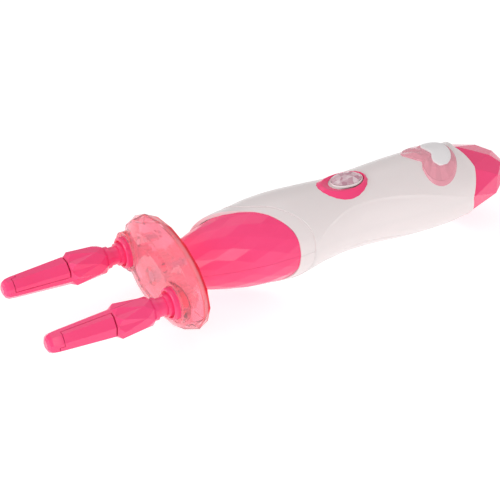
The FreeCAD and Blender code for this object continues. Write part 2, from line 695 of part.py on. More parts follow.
nose_form = feature("nose_form", faceted(cone_rings()))
nose_opening = front_space("nose_opening", "lip_edge", -size["edge_gap"])
nose_trim = block("nose_trim", "60", "120", "120", "nose_front_x - 60", "-60", "-60")
nose_skirt = turned("nose_skirt", [(SKIRT[-1], "0"), ("nose_rear_x", "0"), ("nose_rear_x", "skirt_radius"),
                                   ("skirt_taper_x", "skirt_radius")]
                    + [(x, cone_at % x + " - skirt_depth") for x in SKIRT])
nose_cavity = turned("nose_cavity", [
    ("nose_wall_x", "0"), ("nose_rear_x + 1", "0"), ("nose_rear_x + 1", "nose_bore_radius"),
    ("nose_wall_x + 32", "nose_bore_radius"), ("nose_wall_x + 20", "nose_bore_radius - 2.3"),
    ("nose_wall_x + 10", "nose_bore_radius - 5.6"),
    ("nose_wall_x + sleeve_flange + seat_gap * 2 + 1.6", "sleeve_flange_radius"),
    ("nose_wall_x + sleeve_flange + seat_gap * 2 + 1.6", "sleeve_radius + 1"),
    ("nose_wall_x + sleeve_flange + seat_gap * 2", "sleeve_radius + 1"),
    ("nose_wall_x + sleeve_flange + seat_gap * 2", "sleeve_flange_radius + seat_gap"),
    ("nose_wall_x", "sleeve_flange_radius + seat_gap")])
sleeve_hole = rod("sleeve_hole", "sleeve_radius + fit_gap", "nose_wall_x + 4", "-2")
nose_whole = cut("nose_whole",
                 fuse("nose_blank", cut("nose_facets", common("nose_in_opening", nose_form, nose_opening), nose_trim),
                      nose_skirt),
                 fuse("nose_tools", nose_cavity, sleeve_hole))
finish(common("nose_cone_upper", nose_whole, upper_half), "nose_cone_top")
finish(common("nose_cone_lower", nose_whole, lower_half), "nose_cone_bottom")

# ---------------------------------------------------------------------------
# Faceted rear cap
# ---------------------------------------------------------------------------
def cap_rings(shrink, rear):
    count = int(size["cap_facets"])
    low = size["cap_seam_x"] - 12
    return [ring(low, size["cap_root_radius"] + 1.5 - shrink, size["cap_root_radius"] + 1.5 - shrink, count, 0),
            ring(size["cap_seam_x"] + size["cap_zigzag"] / 2, size["cap_root_radius"] - shrink,
                 size["cap_root_radius"] - shrink, count, 0),
            ring(size["cap_shoulder_x"] - rear * 0.5, size["cap_shoulder_radius"] - shrink,
                 size["cap_shoulder_radius"] - shrink, count, 1),
            ring(size["cap_brow_x"] - rear, size["cap_brow_radius"] - shrink,
                 size["cap_brow_radius"] - shrink, count, 0),
            ring(size["body_length"] - rear, size["cap_face_radius"] - shrink * 0.7,
                 size["cap_face_radius"] - shrink * 0.7, count, 1)]


cap_shell = cut("cap_shell", common("cap_form", feature("cap_facet_form", faceted(cap_rings(0, 0))),
                                    feature("cap_reach", cap_zone(size["fit_gap"]))),
                feature("cap_hollow", faceted(cap_rings(size["wall"], size["wall"]))))
cap_spigot = turned("cap_spigot", [
    ("cap_spigot_x", "cap_spigot_radius - wall"), ("cap_seam_x + 6", "cap_spigot_radius - wall"),
    ("cap_seam_x + 6", "cap_spigot_radius"), ("cap_spigot_x", "cap_spigot_radius")])
finish(fuse("cap_with_spigot", cap_shell, cap_spigot), "rear_cap")

# ---------------------------------------------------------------------------
# Head: clear faceted cover and back plate
# ---------------------------------------------------------------------------
def head_rings(shrink, front, rear_x):
    """Rings of the cover; shrink is taken off its radii and front off its depth."""
    count = int(size["head_facets"])
    wide = size["head_half_width"]
    tall = size["head_half_height"]

    def section(x, share, shifted):
        return ring(x, wide * share - shrink, tall * share - shrink, count, shifted)

    return [section(size["head_front_x"] + front, 0.56, 0), section(size["head_brow_x"] + front, 0.80, 1),
            section(size["head_shoulder_x"] + front / 2, 0.985, 0),
            section(size["head_swell_x"], size["head_swell"], 1), section(rear_x, 1.0, 0)]


SPINDLES = [("left", "-spindle_spacing / 2"), ("right", "spindle_spacing / 2")]
HEAD_SCREWS = [("%s13" % a, "%s12" % b) for a in ("", "-") for b in ("", "-")]
BEARING_END = "head_gear_x - 0.4"
cover_shell = cut("cover_shell",
                  fuse("cover_blank", feature("cover_form", faceted(head_rings(0, 0, 0))),
                       *[rod("socket_ring_" + side, "socket_radius", "socket_floor_x - socket_rim_x + 4",
                             "socket_rim_x", y) for side, y in SPINDLES]),
                  fuse("cover_tools",
                       feature("cover_hollow", faceted(head_rings(size["head_wall"], size["head_wall"], 1))),
                       *[rod("socket_recess_" + side, "flange_radius + seat_gap + 0.2", "10",
                             "socket_floor_x - 10", y) for side, y in SPINDLES]))
bearings = [rod("bearing_" + side, "spindle_journal_radius + 2.4", "%s - socket_floor_x" % BEARING_END,
                "socket_floor_x", y) for side, y in SPINDLES]
hub = rod("cover_hub", "drive_radius + 2", "%s - head_front_x - 0.6" % BEARING_END, "head_front_x + 0.6")
cover_bosses = [rod("cover_boss_%d" % i, "2.5", "-back_plate - seat_gap - head_front_x - 2", "head_front_x + 2", y, z)
                for i, (y, z) in enumerate(HEAD_SCREWS)]
cover_bosses = common("cover_boss_ends", fuse("cover_boss_rods", *cover_bosses),
                      feature("cover_form_again", faceted(head_rings(0, 0, 0))))
head_cover = cut("head_cover_solid",
                 fuse("cover_with_bearings", cover_shell, *(bearings + [hub, cover_bosses])),
                 fuse("cover_bores",
                      rod("hub_bore", "drive_radius + run_gap", "10", "head_front_x + 2.2"),
                      *([rod("bearing_bore_" + side, "spindle_journal_radius + run_gap", "20", "-20", y)
                         for side, y in SPINDLES]
                        + [rod("cover_screw_hole_%d" % i, "screw_radius + run_gap", "7", "-back_plate - 6", y, z)
                           for i, (y, z) in enumerate(HEAD_SCREWS)])))
finish(head_cover, "head_cover")

plate_count = int(size["head_facets"])
plate_ring = [ring(x, size["head_half_width"] - size["head_wall"] - size["fit_gap"],
                   size["head_half_height"] - size["head_wall"] - size["fit_gap"], plate_count, 0)
              for x in (-size["back_plate"], -0.1)]
IDLERS = [("left", "-head_module * (sun_teeth + idler_teeth) / 2"),
          ("right", "head_module * (sun_teeth + idler_teeth) / 2")]
idler_posts = [rod("idler_post_" + side, "1.5", "-back_plate / 2 - head_gear_x + 0.2", "head_gear_x - 0.2", y)
               for side, y in IDLERS]
back_plate = cut("back_plate_solid",
                 fuse("back_plate_blank", feature("back_plate_form", faceted(plate_ring)), *idler_posts),
                 fuse("back_plate_bores",
                      rod("sleeve_pass", "sleeve_radius + 0.3", "10", "-5"),
                      *([rod("rear_bearing_" + side, "planet_seat_radius + run_gap", "10", "-5", y)
                         for side, y in SPINDLES]
                        + [rod("plate_screw_hole_%d" % i, "screw_radius + run_gap", "10", "-5", y, z)
                           for i, (y, z) in enumerate(HEAD_SCREWS)])))
finish(back_plate, "head_back_plate")
finish(fuse("head_screw_solids", *[
    fuse("head_screw_%d" % i,
         rod("head_screw_head_%d" % i, "2.0", "0.9", "0", y, z),
         rod("head_screw_shank_%d" % i, "screw_radius", "7", "-7", y, z))
    for i, (y, z) in enumerate(HEAD_SCREWS)]), "head_screws")

# ---------------------------------------------------------------------------
# Gears in the head: fixed sun, two idlers, two planets
# ---------------------------------------------------------------------------
sun_gear = feature("sun_teeth_ring", gear("head", "sun_teeth", size["head_gear_width"],
                                          size["sleeve_radius"] - 0.5, size["head_gear_x"], tooth_up=True))
sleeve = turned("sun_sleeve", [
    ("head_gear_x", "drive_radius + bush_wall + run_gap * 2"),
    ("nose_wall_x + seat_gap + sleeve_flange", "drive_radius + bush_wall + run_gap * 2"),
    ("nose_wall_x + seat_gap + sleeve_flange", "sleeve_flange_radius"),
    ("nose_wall_x + seat_gap", "sleeve_flange_radius"), ("nose_wall_x + seat_gap", "sleeve_radius"),
    ("head_gear_x", "sleeve_radius")])
finish(fuse("sun_gear_solid", sun_gear, sleeve), "sun_gear")
finish(turned("shaft_bush_body", [
    ("head_gear_x + 0.4", "drive_radius + run_gap"), ("nose_wall_x + 2", "drive_radius + run_gap"),
    ("nose_wall_x + 2", "drive_radius + run_gap + bush_wall"),
    ("head_gear_x + 0.4", "drive_radius + run_gap + bush_wall")]), "shaft_bush")
for side, y in IDLERS:
    idler = feature("idler_gear_" + side + "_teeth",
                    gear("head", "idler_teeth", size["head_gear_width"],
                         1.5 + size["run_gap"], size["head_gear_x"], tooth_up=True))
    finish(idler, "idler_gear_" + side, y=y, turn=Rotation(Vector(1, 0, 0), 90 + 180 / size["idler_teeth"]))
for side, y in SPINDLES:
    planet = feature("planet_gear_" + side + "_teeth",
                     gear("head", "planet_teeth", size["head_gear_width"],
                          size["planet_seat_radius"] + 0.02, size["head_gear_x"], tooth_up=True))
    finish(planet, "planet_gear_" + side, y=y, turn=Rotation(Vector(1, 0, 0), 90))

# ---------------------------------------------------------------------------
# Spindles: each a shaft with a finger, a clip lever, its pin and its spring
# ---------------------------------------------------------------------------
FINGER_SIDES = 8


def finger_rings():
    root = size["finger_root_x"]
    taper = (size["finger_root_radius"] - size["finger_tip_radius"]) / (root - size["lever_tip_x"])
    tip = size["tip_x"]
    profile = [(tip, 2.4), (tip + 0.9, 4.1), (tip + 2.4, 5.0),
               (size["lever_tip_x"], size["finger_tip_radius"]), (root + 2, size["finger_root_radius"] + 2 * taper)]
    return [ring(x, radius, radius, FINGER_SIDES, 1) for x, radius in profile]


def barrel_form():
    """Eight lobes: notches in the front edge run out as valleys at the rear ring."""
    front, _ = ring(size["barrel_front_x"], size["barrel_notch_radius"], size["barrel_notch_radius"], FINGER_SIDES, 1)
    lobes, _ = ring(size["barrel_front_x"] + 3.0, size["barrel_radius"], size["barrel_radius"], FINGER_SIDES, 0)
    rear = ring(size["barrel_rear_x"] - 4.0, size["barrel_rear_radius"] + 0.6, size["barrel_rear_radius"] + 0.6,
                FINGER_SIDES, 1)
    end = ring(size["barrel_rear_x"], size["barrel_rear_radius"], size["barrel_rear_radius"], FINGER_SIDES, 0)
    collar = ring(size["barrel_rear_x"] + 1.4, 6.0, 6.0, FINGER_SIDES, 0)
    facets = [front, collar[0]]
    for i in range(FINGER_SIDES):
        j = (i + 1) % FINGER_SIDES
        facets += [(front[i], front[j], lobes[j]), (front[i], lobes[j], rear[0][i]), (front[i], rear[0][i], lobes[i]),
                   (lobes[j], rear[0][j], rear[0][i]), (rear[0][i], rear[0][j], end[0][j]),
                   (end[0][i], end[0][j], rear[0][i]), (end[0][i], end[0][j], collar[0][j], collar[0][i])]
    solid = Part.makeSolid(Part.makeShell([Part.Face(Part.makePolygon([*f, f[0]])) for f in facets]))
    if solid.Volume < 0:
        solid.reverse()
    return solid


TAIL_END = "barrel_rear_x - 3.8"
SLOT_FLOOR_Y = "0.2"
for side, y in SPINDLES:
    roll = Rotation(Vector(1, 0, 0), size["clip_roll_" + side])
    pin_side = "-7.9" if side == "left" else "-5.7"
    finger = feature("finger_" + side, faceted(finger_rings()))
    barrel = feature("barrel_" + side, barrel_form())
    shaft = turned("spindle_shaft_" + side, [
        ("barrel_front_x + 1", "0"), ("-0.3", "0"), ("-0.3", "planet_seat_radius"),
        ("head_gear_x - 0.2", "planet_seat_radius"), ("head_gear_x - 0.2", "spindle_journal_radius"),
        ("socket_floor_x - 0.3", "spindle_journal_radius"), ("socket_floor_x - 0.3", "flange_radius"),
        ("socket_floor_x - 3.4", "flange_radius"), ("socket_floor_x - 3.8", "flange_radius - 0.6"),
        ("socket_floor_x - 3.8", "flange_radius - 1.2"), ("socket_floor_x - 2.4", "flange_radius - 1.9"),
        ("socket_floor_x - 3.4", "neck_radius + 1"), ("neck_rear_x - 0.6", "neck_radius + 1"),
        ("neck_rear_x - 0.6", "neck_radius"), ("barrel_rear_x + 3.4", "neck_radius"),
        ("barrel_rear_x + 3.4", "neck_radius + 0.9"), ("barrel_rear_x + 1", "neck_radius + 0.9"),
        ("barrel_rear_x + 1", "neck_radius"), ("barrel_front_x + 1", "neck_radius")])
    whole = fuse("spindle_whole_" + side, finger, barrel, shaft)
    lever_room = fuse(
        "lever_room_" + side,
        block("lever_front_" + side, "barrel_front_x - lever_tip_x + grip_gap", "20", "20",
              "lever_tip_x - grip_gap", "-20 + grip_gap / 2", "-10"),
        block("lever_slot_" + side, "%s + 1 - finger_root_x" % TAIL_END, "%s - slot_roof_y" % SLOT_FLOOR_Y,
              "2 * (lever_half_width + slot_gap)", "finger_root_x", "slot_roof_y", "-lever_half_width - slot_gap"))
    tab = block("tip_tab_" + side, "tab_length + grip_gap", "20", "20", "lever_tip_x - grip_gap", "-20 + grip_gap / 2",
                "grip_gap")
    spring_pocket = rod("spring_pocket_" + side, "1.9", "2.2", "%s - 3" % TAIL_END, "-1", "0",
                        Rotation(Vector(1, 0, 0), -90))
    pin_hole = post("pin_hole_" + side, "pin_radius + 0.02", "13.6", "pivot_x", "pivot_y", pin_side)
    core = cut("spindle_core_" + side, whole,
               fuse("core_tools_" + side, cut("lever_room_by_tab_" + side, lever_room, tab), pin_hole, spring_pocket))
    finish(core, "spindle_" + side, y=y, turn=roll)
    lever_zone = cut(
        "lever_zone_" + side,
        fuse("lever_span_" + side,
             block("lever_finger_zone_" + side, "finger_root_x - lever_tip_x", "20", "20",
                   "lever_tip_x", "-20 - grip_gap / 2", "-10"),
             block("lever_tongue_zone_" + side, "%s - finger_root_x + 1" % TAIL_END, "-3 - lever_back_y",
                   "2 * lever_half_width", "finger_root_x - 1", "lever_back_y", "-lever_half_width"),
             block("lever_lug_zone_" + side, "9", "-1.4 - lever_back_y", "2 * lever_half_width",
                   "pivot_x - 6.2", "lever_back_y", "-lever_half_width"),
             post("lever_eye_" + side, "1.75", "2 * lever_half_width", "pivot_x", "pivot_y", "-lever_half_width")),
        block("lever_tab_zone_" + side, "tab_length + grip_gap", "20", "20", "lever_tip_x", "-20", "0"))
    lever = cut("clip_lever_solid_" + side,
                common("lever_cut_" + side, fuse("lever_stock_" + side, finger, barrel), lever_zone),
                fuse("lever_tools_" + side,
                     post("lever_bore_" + side, "pin_radius + run_gap", "14", "pivot_x", "pivot_y", "-7"),
                     rod("lever_spring_seat_" + side, "1.9", "1.2", "%s - 3" % TAIL_END, "-4", "0",
                         Rotation(Vector(1, 0, 0), -90))))
    finish(lever, "clip_lever_" + side, y=y, turn=roll)
    pin_end = roll.multVec(Vector(0, size["pivot_y"], float(pin_side) + 0.6))
    pin = post("clip_pin_solid_" + side, "pin_radius", "12.3", "0", "0", "0")
    finish(pin, "clip_pin_" + side, x="pivot_x - body_length", y="%s + %.5f" % (y, pin_end.y),
           z="%.5f" % pin_end.z, turn=roll)
    spring = feature("clip_spring_solid_" + side,
                     coil(0.22, 1.4, 5.0, 3, Vector(size["barrel_rear_x"] - 6.8, 1.1, 0), Vector(0, -1, 0)))
    finish(spring, "clip_spring_" + side, y=y, turn=roll)

# ---------------------------------------------------------------------------
# Drive shaft, reduction gears and gearbox
# ---------------------------------------------------------------------------
finish(turned("drive_shaft_body", [
    ("head_front_x + 2.4", "0"), ("rear_plate_x + gear_plate - 0.1", "0"),
    ("rear_plate_x + gear_plate - 0.1", "journal_radius"),
    ("train_x + train_width + 0.3", "journal_radius"),
    ("train_x + train_width + 0.3", "drive_radius"), ("head_front_x + 2.4", "drive_radius")]), "drive_shaft")

OFFSET = "train_module * (wheel_teeth + pinion_teeth) / 2"
wheel = ("train", "wheel_teeth")
pinion = ("train", "pinion_teeth")
train_x = size["train_x"]
train_step = size["train_step"]
train_width = size["train_width"]
finish(feature("output_teeth", gear(*wheel, train_width, size["drive_radius"] + 0.02, train_x)), "output_gear")


def compound(name, stage, bore):
    """A large gear with the small gear of the stage in front of it, on one hub."""
    small = feature(name + "_small", gear(*pinion, train_step + 0.2, bore, train_x + (stage - 1) * train_step - 0.1,
                                          tooth_up=False))
    large = feature(name + "_large", gear(*wheel, train_width, bore, train_x + stage * train_step))
    return fuse(name + "_solid", small, large)


finish(compound("front_compound", 1, size["axle_radius"] + size["run_gap"]), "compound_gear_front", z=OFFSET)
finish(compound("rear_compound", 2, size["journal_radius"] + size["run_gap"]), "compound_gear_rear")
finish(feature("motor_pinion_teeth", gear(*pinion, train_width + 0.6, size["motor_shaft_radius"] + 0.02,
                                          train_x + 2 * train_step - 0.3, tooth_up=False)),
       "motor_pinion", z="-" + OFFSET)
finish(rod("gear_axle_solid", "axle_radius", "rear_plate_x + gear_plate - front_plate_x", "0"), "gear_axle",
       x="front_plate_x - body_length", z=OFFSET)

front_plate = cut("front_plate_solid",
                  rod("front_plate_disc", "front_plate_radius", "gear_plate", "front_plate_x"),
                  fuse("front_plate_holes", rod("front_plate_bore", "drive_radius + run_gap", "10", "front_plate_x - 4"),
                       rod("front_axle_hole", "axle_radius + 0.02", "10", "front_plate_x - 4", "0", OFFSET)))
finish(front_plate, "gearbox_front_plate")
gearbox_posts = [rod("gearbox_post_%d" % i, "1.6", "rear_plate_x - front_plate_x - gear_plate",
                     "front_plate_x + gear_plate", y, "-4.6") for i, y in enumerate(("10.6", "-10.6"))]
rear_plate = cut("rear_plate_solid",
                 fuse("rear_plate_blank", rod("rear_plate_disc", "rear_plate_radius", "gear_plate", "rear_plate_x"),
                      *gearbox_posts),
                 fuse("rear_plate_holes", rod("rear_journal_hole", "journal_radius + run_gap", "10", "rear_plate_x - 4"),
                      rod("rear_axle_hole", "axle_radius + 0.02", "10", "rear_plate_x - 4", "0", OFFSET),
                      rod("motor_boss_hole", "3.2", "10", "rear_plate_x - 4", "0", "-" + OFFSET)))
finish(rear_plate, "gearbox_rear_plate")

MOTOR_X = "rear_plate_x + gear_plate"
motor_can = common("motor_can", rod("motor_round", "motor_radius", "motor_length", MOTOR_X, "0", "-" + OFFSET),
                   block("motor_flats", "motor_length", "2 * motor_radius", "motor_flat", MOTOR_X,
                         "-motor_radius", "-%s - motor_flat / 2" % OFFSET))
motor_case = fuse("motor_case", motor_can,
                  rod("motor_boss", "3.0", "1.6", MOTOR_X + " - 1.6", "0", "-" + OFFSET),
                  rod("motor_end_boss", "4.5", "1.8", MOTOR_X + " + motor_length", "0", "-" + OFFSET),
                  block("motor_tag_a", "3", "2.2", "0.6", MOTOR_X + " + motor_length", "-8.4", "-" + OFFSET),
                  block("motor_tag_b", "3", "2.2", "0.6", MOTOR_X + " + motor_length", "6.2", "-" + OFFSET))
finish(cut("motor_solid", motor_case,
           rod("motor_shaft_hole", "motor_shaft_radius + run_gap", "23", MOTOR_X + " - 4", "0", "-" + OFFSET)),
       "motor")
finish(rod("motor_shaft_solid", "motor_shaft_radius", "train_width + 8 + 15.5", "0"), "motor_shaft",
       x="%s - 8 - body_length" % MOTOR_X, z="-" + OFFSET)

# ---------------------------------------------------------------------------
# Cells, contacts and their tray
# ---------------------------------------------------------------------------
INNER_X = "tray_x + tray_wall"
INNER_LENGTH = "bay_length"
cell_rods = [rod("cell_room_%d" % i, "cell_radius + seat_gap", INNER_LENGTH, INNER_X, y, "cell_z")
             for i, y in enumerate(("cell_spacing / 2", "-cell_spacing / 2"))]
tray_blank = fuse("tray_blank",
                  block("tray_roof", INNER_LENGTH + " + 2 * tray_wall", "2 * tray_half_width",
                        "cell_radius + seat_gap + 1", "tray_x", "-tray_half_width", "cell_z + 1.6"),
                  block("tray_front_wall", "tray_wall", "2 * tray_half_width", "cell_radius + 5", "tray_x",
                        "-tray_half_width", "cell_z - 4.8"),
                  block("tray_rear_wall", "tray_wall", "2 * tray_half_width", "cell_radius + 5",
                        INNER_X + " + " + INNER_LENGTH, "-tray_half_width", "cell_z - 4.8"),
                  block("tray_foot", "tray_x - door_x - 1.6 + 0.2", "6.4", "9.5", "door_x + 1.6", "-3.2",
                        DOOR_SCREW_Z + " + seat_gap"))
finish(cut("battery_tray_solid", tray_blank,
           fuse("tray_tools", *(cell_rods + [
               block("contact_pocket", "contact_sheet + 0.15", "2 * tray_half_width - 2.5", "9.6", INNER_X,
                     "-tray_half_width + 1.25", "cell_z - 4.8"),
               post("tray_screw_hole", "screw_radius + run_gap", "9", DOOR_SCREW_X, "0", DOOR_SCREW_Z + " - 0.5")]))),
       "battery_tray")


def cell(name, direction):
    """An AA cell whose nipple points along direction, from its flat end."""
    body = "cell_length - 1.2"
    ends = ("0", body) if direction > 0 else ("1.2", "cell_length")
    nipple = body if direction > 0 else "0"
    return fuse(name, rod(name + "_can", "cell_radius", body, ends[0]), rod(name + "_nipple", "2.6", "1.2", nipple))


FRONT_CONTACT = "tray_x + tray_wall + contact_sheet + 0.1"
finish(cell("cell_left_solid", 1), "aa_cell_left", x=FRONT_CONTACT + " + contact_length + 0.1 - body_length",
       y="-cell_spacing / 2", z="cell_z")
finish(cell("cell_right_solid", -1), "aa_cell_right", x=FRONT_CONTACT + " - body_length",
       y="cell_spacing / 2", z="cell_z")
finish(fuse("contact_plate_solids",
            block("front_contact", "contact_sheet", "2 * tray_half_width - 3", "9", "tray_x + tray_wall + 0.05",
                  "-tray_half_width + 1.5", "cell_z - 4.5"),
            block("rear_contact_left", "contact_sheet", "10", "9",
                  INNER_X + " + " + INNER_LENGTH + " - contact_sheet - 0.05", "-cell_spacing / 2 - 5", "cell_z - 4.5"),
            block("rear_contact_right", "contact_sheet", "10", "9",
                  INNER_X + " + " + INNER_LENGTH + " - contact_sheet - 0.05", "cell_spacing / 2 - 5", "cell_z - 4.5")),
       "contact_plates")
front_spring = coil(0.3, 3.2, size["contact_length"] - 0.1, 2,
                    Vector(size["tray_x"] + size["tray_wall"] + size["contact_sheet"] + 0.15,
                           -size["cell_spacing"] / 2, size["cell_z"]), Vector(1, 0, 0))
rear_spring = coil(0.3, 3.2, size["contact_length"] - 0.1, 2,
                   Vector(size["tray_x"] + size["tray_wall"] + size["contact_sheet"] + 0.15 + size["cell_length"],
                          size["cell_spacing"] / 2, size["cell_z"]), Vector(1, 0, 0))
finish(feature("contact_spring_solids", Part.makeCompound([front_spring, rear_spring])), "contact_springs")

# ---------------------------------------------------------------------------
# Push button: bezel, button, stone, spring, switch and board
# ---------------------------------------------------------------------------
BEZEL_FACETS = 16


def bezel_rings():
    """The bezel's slanting panels run from the handle's crown up to a level edge."""
    top = size["bezel_top_z"]
    ends, sides = size["bezel_slope"], size["bezel_lean"]
    length = size["bezel_half_length"]
    width = size["bezel_half_width"]
    foot, shift = upright_ring(10, length, width, BEZEL_FACETS, 1, size["button_x"])
    foot = [Vector(p.x, p.y, math.sqrt(size["waist_crown"] ** 2 - p.y ** 2) - 0.1) for p in foot]
    return [upright_ring(10, length - 0.2, width - 0.2, BEZEL_FACETS, 1, size["button_x"]), (foot, shift),
            upright_ring(top - 0.4, length - ends + 0.4, width - sides + 0.4, BEZEL_FACETS, 1, size["button_x"]),
            upright_ring(top, length - ends - 0.2, width - sides - 0.2, BEZEL_FACETS, 1, size["button_x"])]


bezel_collar = cut("bezel_collar", feature("bezel_form", faceted(bezel_rings())),
                   handle_form("bezel_seat", 0.02))
bezel_spigot = oval_prism("bezel_spigot", "button_half_length + button_gap + 1 - fit_gap",
                          "button_half_width + button_gap + 1 - fit_gap", "button_x", "waist_crown - wall - 1.4", "5")
finish(cut("bezel_solid", fuse("bezel_blank", bezel_collar, bezel_spigot),
           oval_prism("bezel_opening", "button_half_length + button_gap", "button_half_width + button_gap",
                      "button_x", "button_foot_z", "20")), "button_bezel")
BUTTON_TOP = "bezel_top_z - 1.2"
button_cap = fuse("button_cap_solid",
                  oval_prism("button_body", "button_half_length", "button_half_width", "button_x",
                             "button_foot_z + 1", "%s - button_foot_z - 1" % BUTTON_TOP),
                  oval_prism("button_flange", "button_half_length + 2", "button_half_width + 1.6", "button_x",
                             "button_foot_z", "1.1"))
finish(button_cap, "button_cap")


def stone_rings():
    low = size["bezel_top_z"] - 1.2 + 0.05
    length = size["button_half_length"]
    width = size["button_half_width"]
    count = 12
    return [upright_ring(low, length * 0.94, width * 0.92, count, 0, size["button_x"]),
            upright_ring(low + 0.9, length, width, count, 0, size["button_x"]),
            upright_ring(low + 2.2, length * 0.86, width * 0.84, count, 1, size["button_x"]),
            upright_ring(low + 1.2 + size["stone_rise"], length * 0.62, width * 0.58, count, 0, size["button_x"])]


finish(feature("stone_form", faceted(stone_rings())), "button_stone")
BOARD_TOP = "board_z + board_thickness"
finish(cut("circuit_board_solid",
           block("board_blank", "30", "17", "board_thickness", "button_x - 15", "-8.5", "board_z"),
           fuse("board_holes", *[post("board_hole_%d" % i, "0.9 + run_gap", "10", x, y, "board_z - 3")
                                 for i, (x, y) in enumerate(BOARD_POSTS)])), "circuit_board")
finish(fuse("switch_solid", block("switch_case", "6", "6", "3.2", "button_x - 3", "-3", BOARD_TOP),
            post("switch_plunger", "1.6", "button_foot_z - button_travel - 0.1 - %s" % ("(" + BOARD_TOP + ")"),
                 "button_x", "0", BOARD_TOP)), "tact_switch")
finish(feature("button_spring_solid",
               coil(0.35, 5.2, size["button_foot_z"] - size["board_z"] - size["board_thickness"] - 0.1, 4,
                    Vector(size["button_x"], 0, size["board_z"] + size["board_thickness"] + 0.05),
                    Vector(0, 0, 1))), "button_spring")

# ---------------------------------------------------------------------------
# Bow badge and its bare oval label
# ---------------------------------------------------------------------------
bow = cut("bow_solid", common("bow_cap", feature("bow_prism", bow_outline(0, 5, 40)),
                              handle_form("bow_top", size["bow_rise"])),
          handle_form("bow_floor", 0.05 - size["bow_recess"]))
finish(bow, "bow_badge")
label_prism = oval_prism("label_prism", "label_half_span", "label_half_length", "label_x", "5", "35",
                         turn=FLAT_CROSSWAYS)
finish(cut("label_solid", common("label_cap", label_prism,
                               handle_form("label_top", size["bow_rise"] + size["label_thickness"])),
           handle_form("label_floor", size["bow_rise"] + 0.05)), "label_plate")

# ---------------------------------------------------------------------------
# Check every object, then write one file for each finished piece
# ---------------------------------------------------------------------------
doc.recompute()
for thing in doc.Objects:
    if "Invalid" in thing.State or "Error" in thing.State:
        raise RuntimeError("%s did not build" % thing.Name)
for thing in finished:
    if thing.Shape.isNull() or not thing.Shape.isValid() or not thing.Shape.Solids:
        raise RuntimeError("%s has no valid solid" % thing.Label)
for thing in finished:
    thing.Shape.exportStep("parts/%s.step" % thing.Label)
print("%d pieces" % len(finished))
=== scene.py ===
import math

import bmesh
import bpy
from mathutils import Matrix, Vector


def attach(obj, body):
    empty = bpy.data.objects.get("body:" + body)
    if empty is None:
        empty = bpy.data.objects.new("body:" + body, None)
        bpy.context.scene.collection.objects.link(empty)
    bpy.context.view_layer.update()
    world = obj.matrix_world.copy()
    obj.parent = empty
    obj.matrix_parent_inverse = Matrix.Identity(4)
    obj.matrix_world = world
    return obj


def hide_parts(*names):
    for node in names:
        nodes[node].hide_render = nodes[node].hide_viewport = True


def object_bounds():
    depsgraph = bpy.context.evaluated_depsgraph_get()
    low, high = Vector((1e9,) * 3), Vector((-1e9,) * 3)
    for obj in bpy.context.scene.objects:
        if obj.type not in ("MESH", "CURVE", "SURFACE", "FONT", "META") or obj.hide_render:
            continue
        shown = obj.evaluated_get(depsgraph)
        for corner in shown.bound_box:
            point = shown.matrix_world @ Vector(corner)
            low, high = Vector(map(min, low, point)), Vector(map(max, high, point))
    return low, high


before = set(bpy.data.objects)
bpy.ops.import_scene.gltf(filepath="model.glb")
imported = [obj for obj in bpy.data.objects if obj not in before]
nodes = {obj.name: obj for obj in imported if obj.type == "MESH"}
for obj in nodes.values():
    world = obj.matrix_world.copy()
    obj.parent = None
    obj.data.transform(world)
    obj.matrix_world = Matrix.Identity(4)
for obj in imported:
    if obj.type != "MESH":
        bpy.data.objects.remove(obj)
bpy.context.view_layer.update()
scene = bpy.context.scene

# --------------------------------------------------------------------------------------
# White grip shells
# Two mouldings in warm white gloss plastic, screwed together at the level of the axis. The
# crown is round, the flanks are hollowed for the fingers, and a stepped lip holds the cone.
# --------------------------------------------------------------------------------------
BODY_LENGTH = 194.0
GRIP_STATIONS = [
    # x, crown, side, taller, lift (mm, from the head's rear rim)
    (34, 20.9, 21.1, 0.1, 0.0), (40, 21.4, 21.6, 0.1, 0.0), (46, 22.2, 22.4, 0.1, 0.0), (58, 22.6, 22.7, 0.1, 0.0),
    (67, 22.3, 22.2, 0.1, 0.6), (79, 21.5, 20.0, 1.4, 1.6), (95, 20.4, 17.9, 3.0, 2.0),
    (110, 20.9, 18.4, 3.0, 2.0), (125, 21.5, 19.9, 2.0, 1.4), (140, 21.6, 21.1, 0.7, 0.8),
    (156, 21.1, 21.0, 0.2, 0.3), (173, 18.9, 19.0, 0.2, 0.0)]
# the lip's edge and the step behind it cross the body at a slant: (y, x) from the near side to the far one
LIP_EDGE = [(-26, 59.7), (-21.7, 59.3), (-18.3, 57.8), (-13.8, 53.9), (-7.6, 48.1), (-1.3, 40.6), (2.8, 34.8),
            (7.7, 28.4), (12, 22.9), (16.2, 18.0), (21, 15.2), (26, 13.8)]
STEP_EDGE = [(-26, 68.1), (-21.3, 67.7), (-17.6, 65.7), (-11.3, 59.1), (-4.6, 51.6), (-1.4, 46.4), (1.2, 42.6),
             (4.6, 39.7), (9, 37.3), (14, 35.8), (20, 35.0), (26, 34.7)]
LIP_SHAPE = [(13, 16.0), (18.7, 17.8), (21, 18.6), (24, 19.45), (29, 20.3), (33, 20.65), (37, 20.85), (41, 21.1),
             (47, 21.66), (54, 21.95), (59, 22.07), (65, 21.85), (72, 21.2)]
# where the hollowed flank begins, in degrees from the top: (x, angle)
CREASE = [(64, 88), (70, 80), (74, 69), (78, 61.4), (82, 56.8), (86, 52.4), (90, 48.8), (94, 46.8), (98, 46),
          (102, 45.8), (106, 46.4), (110, 47.8), (118, 51.4), (126, 56.2), (134, 61.6), (142, 68.2), (150, 75.2),
          (158, 82.8), (166, 88)]
CAP_SEAM, CAP_ZIGZAG, CAP_ROOT = 165.0, 3.8, 19.5
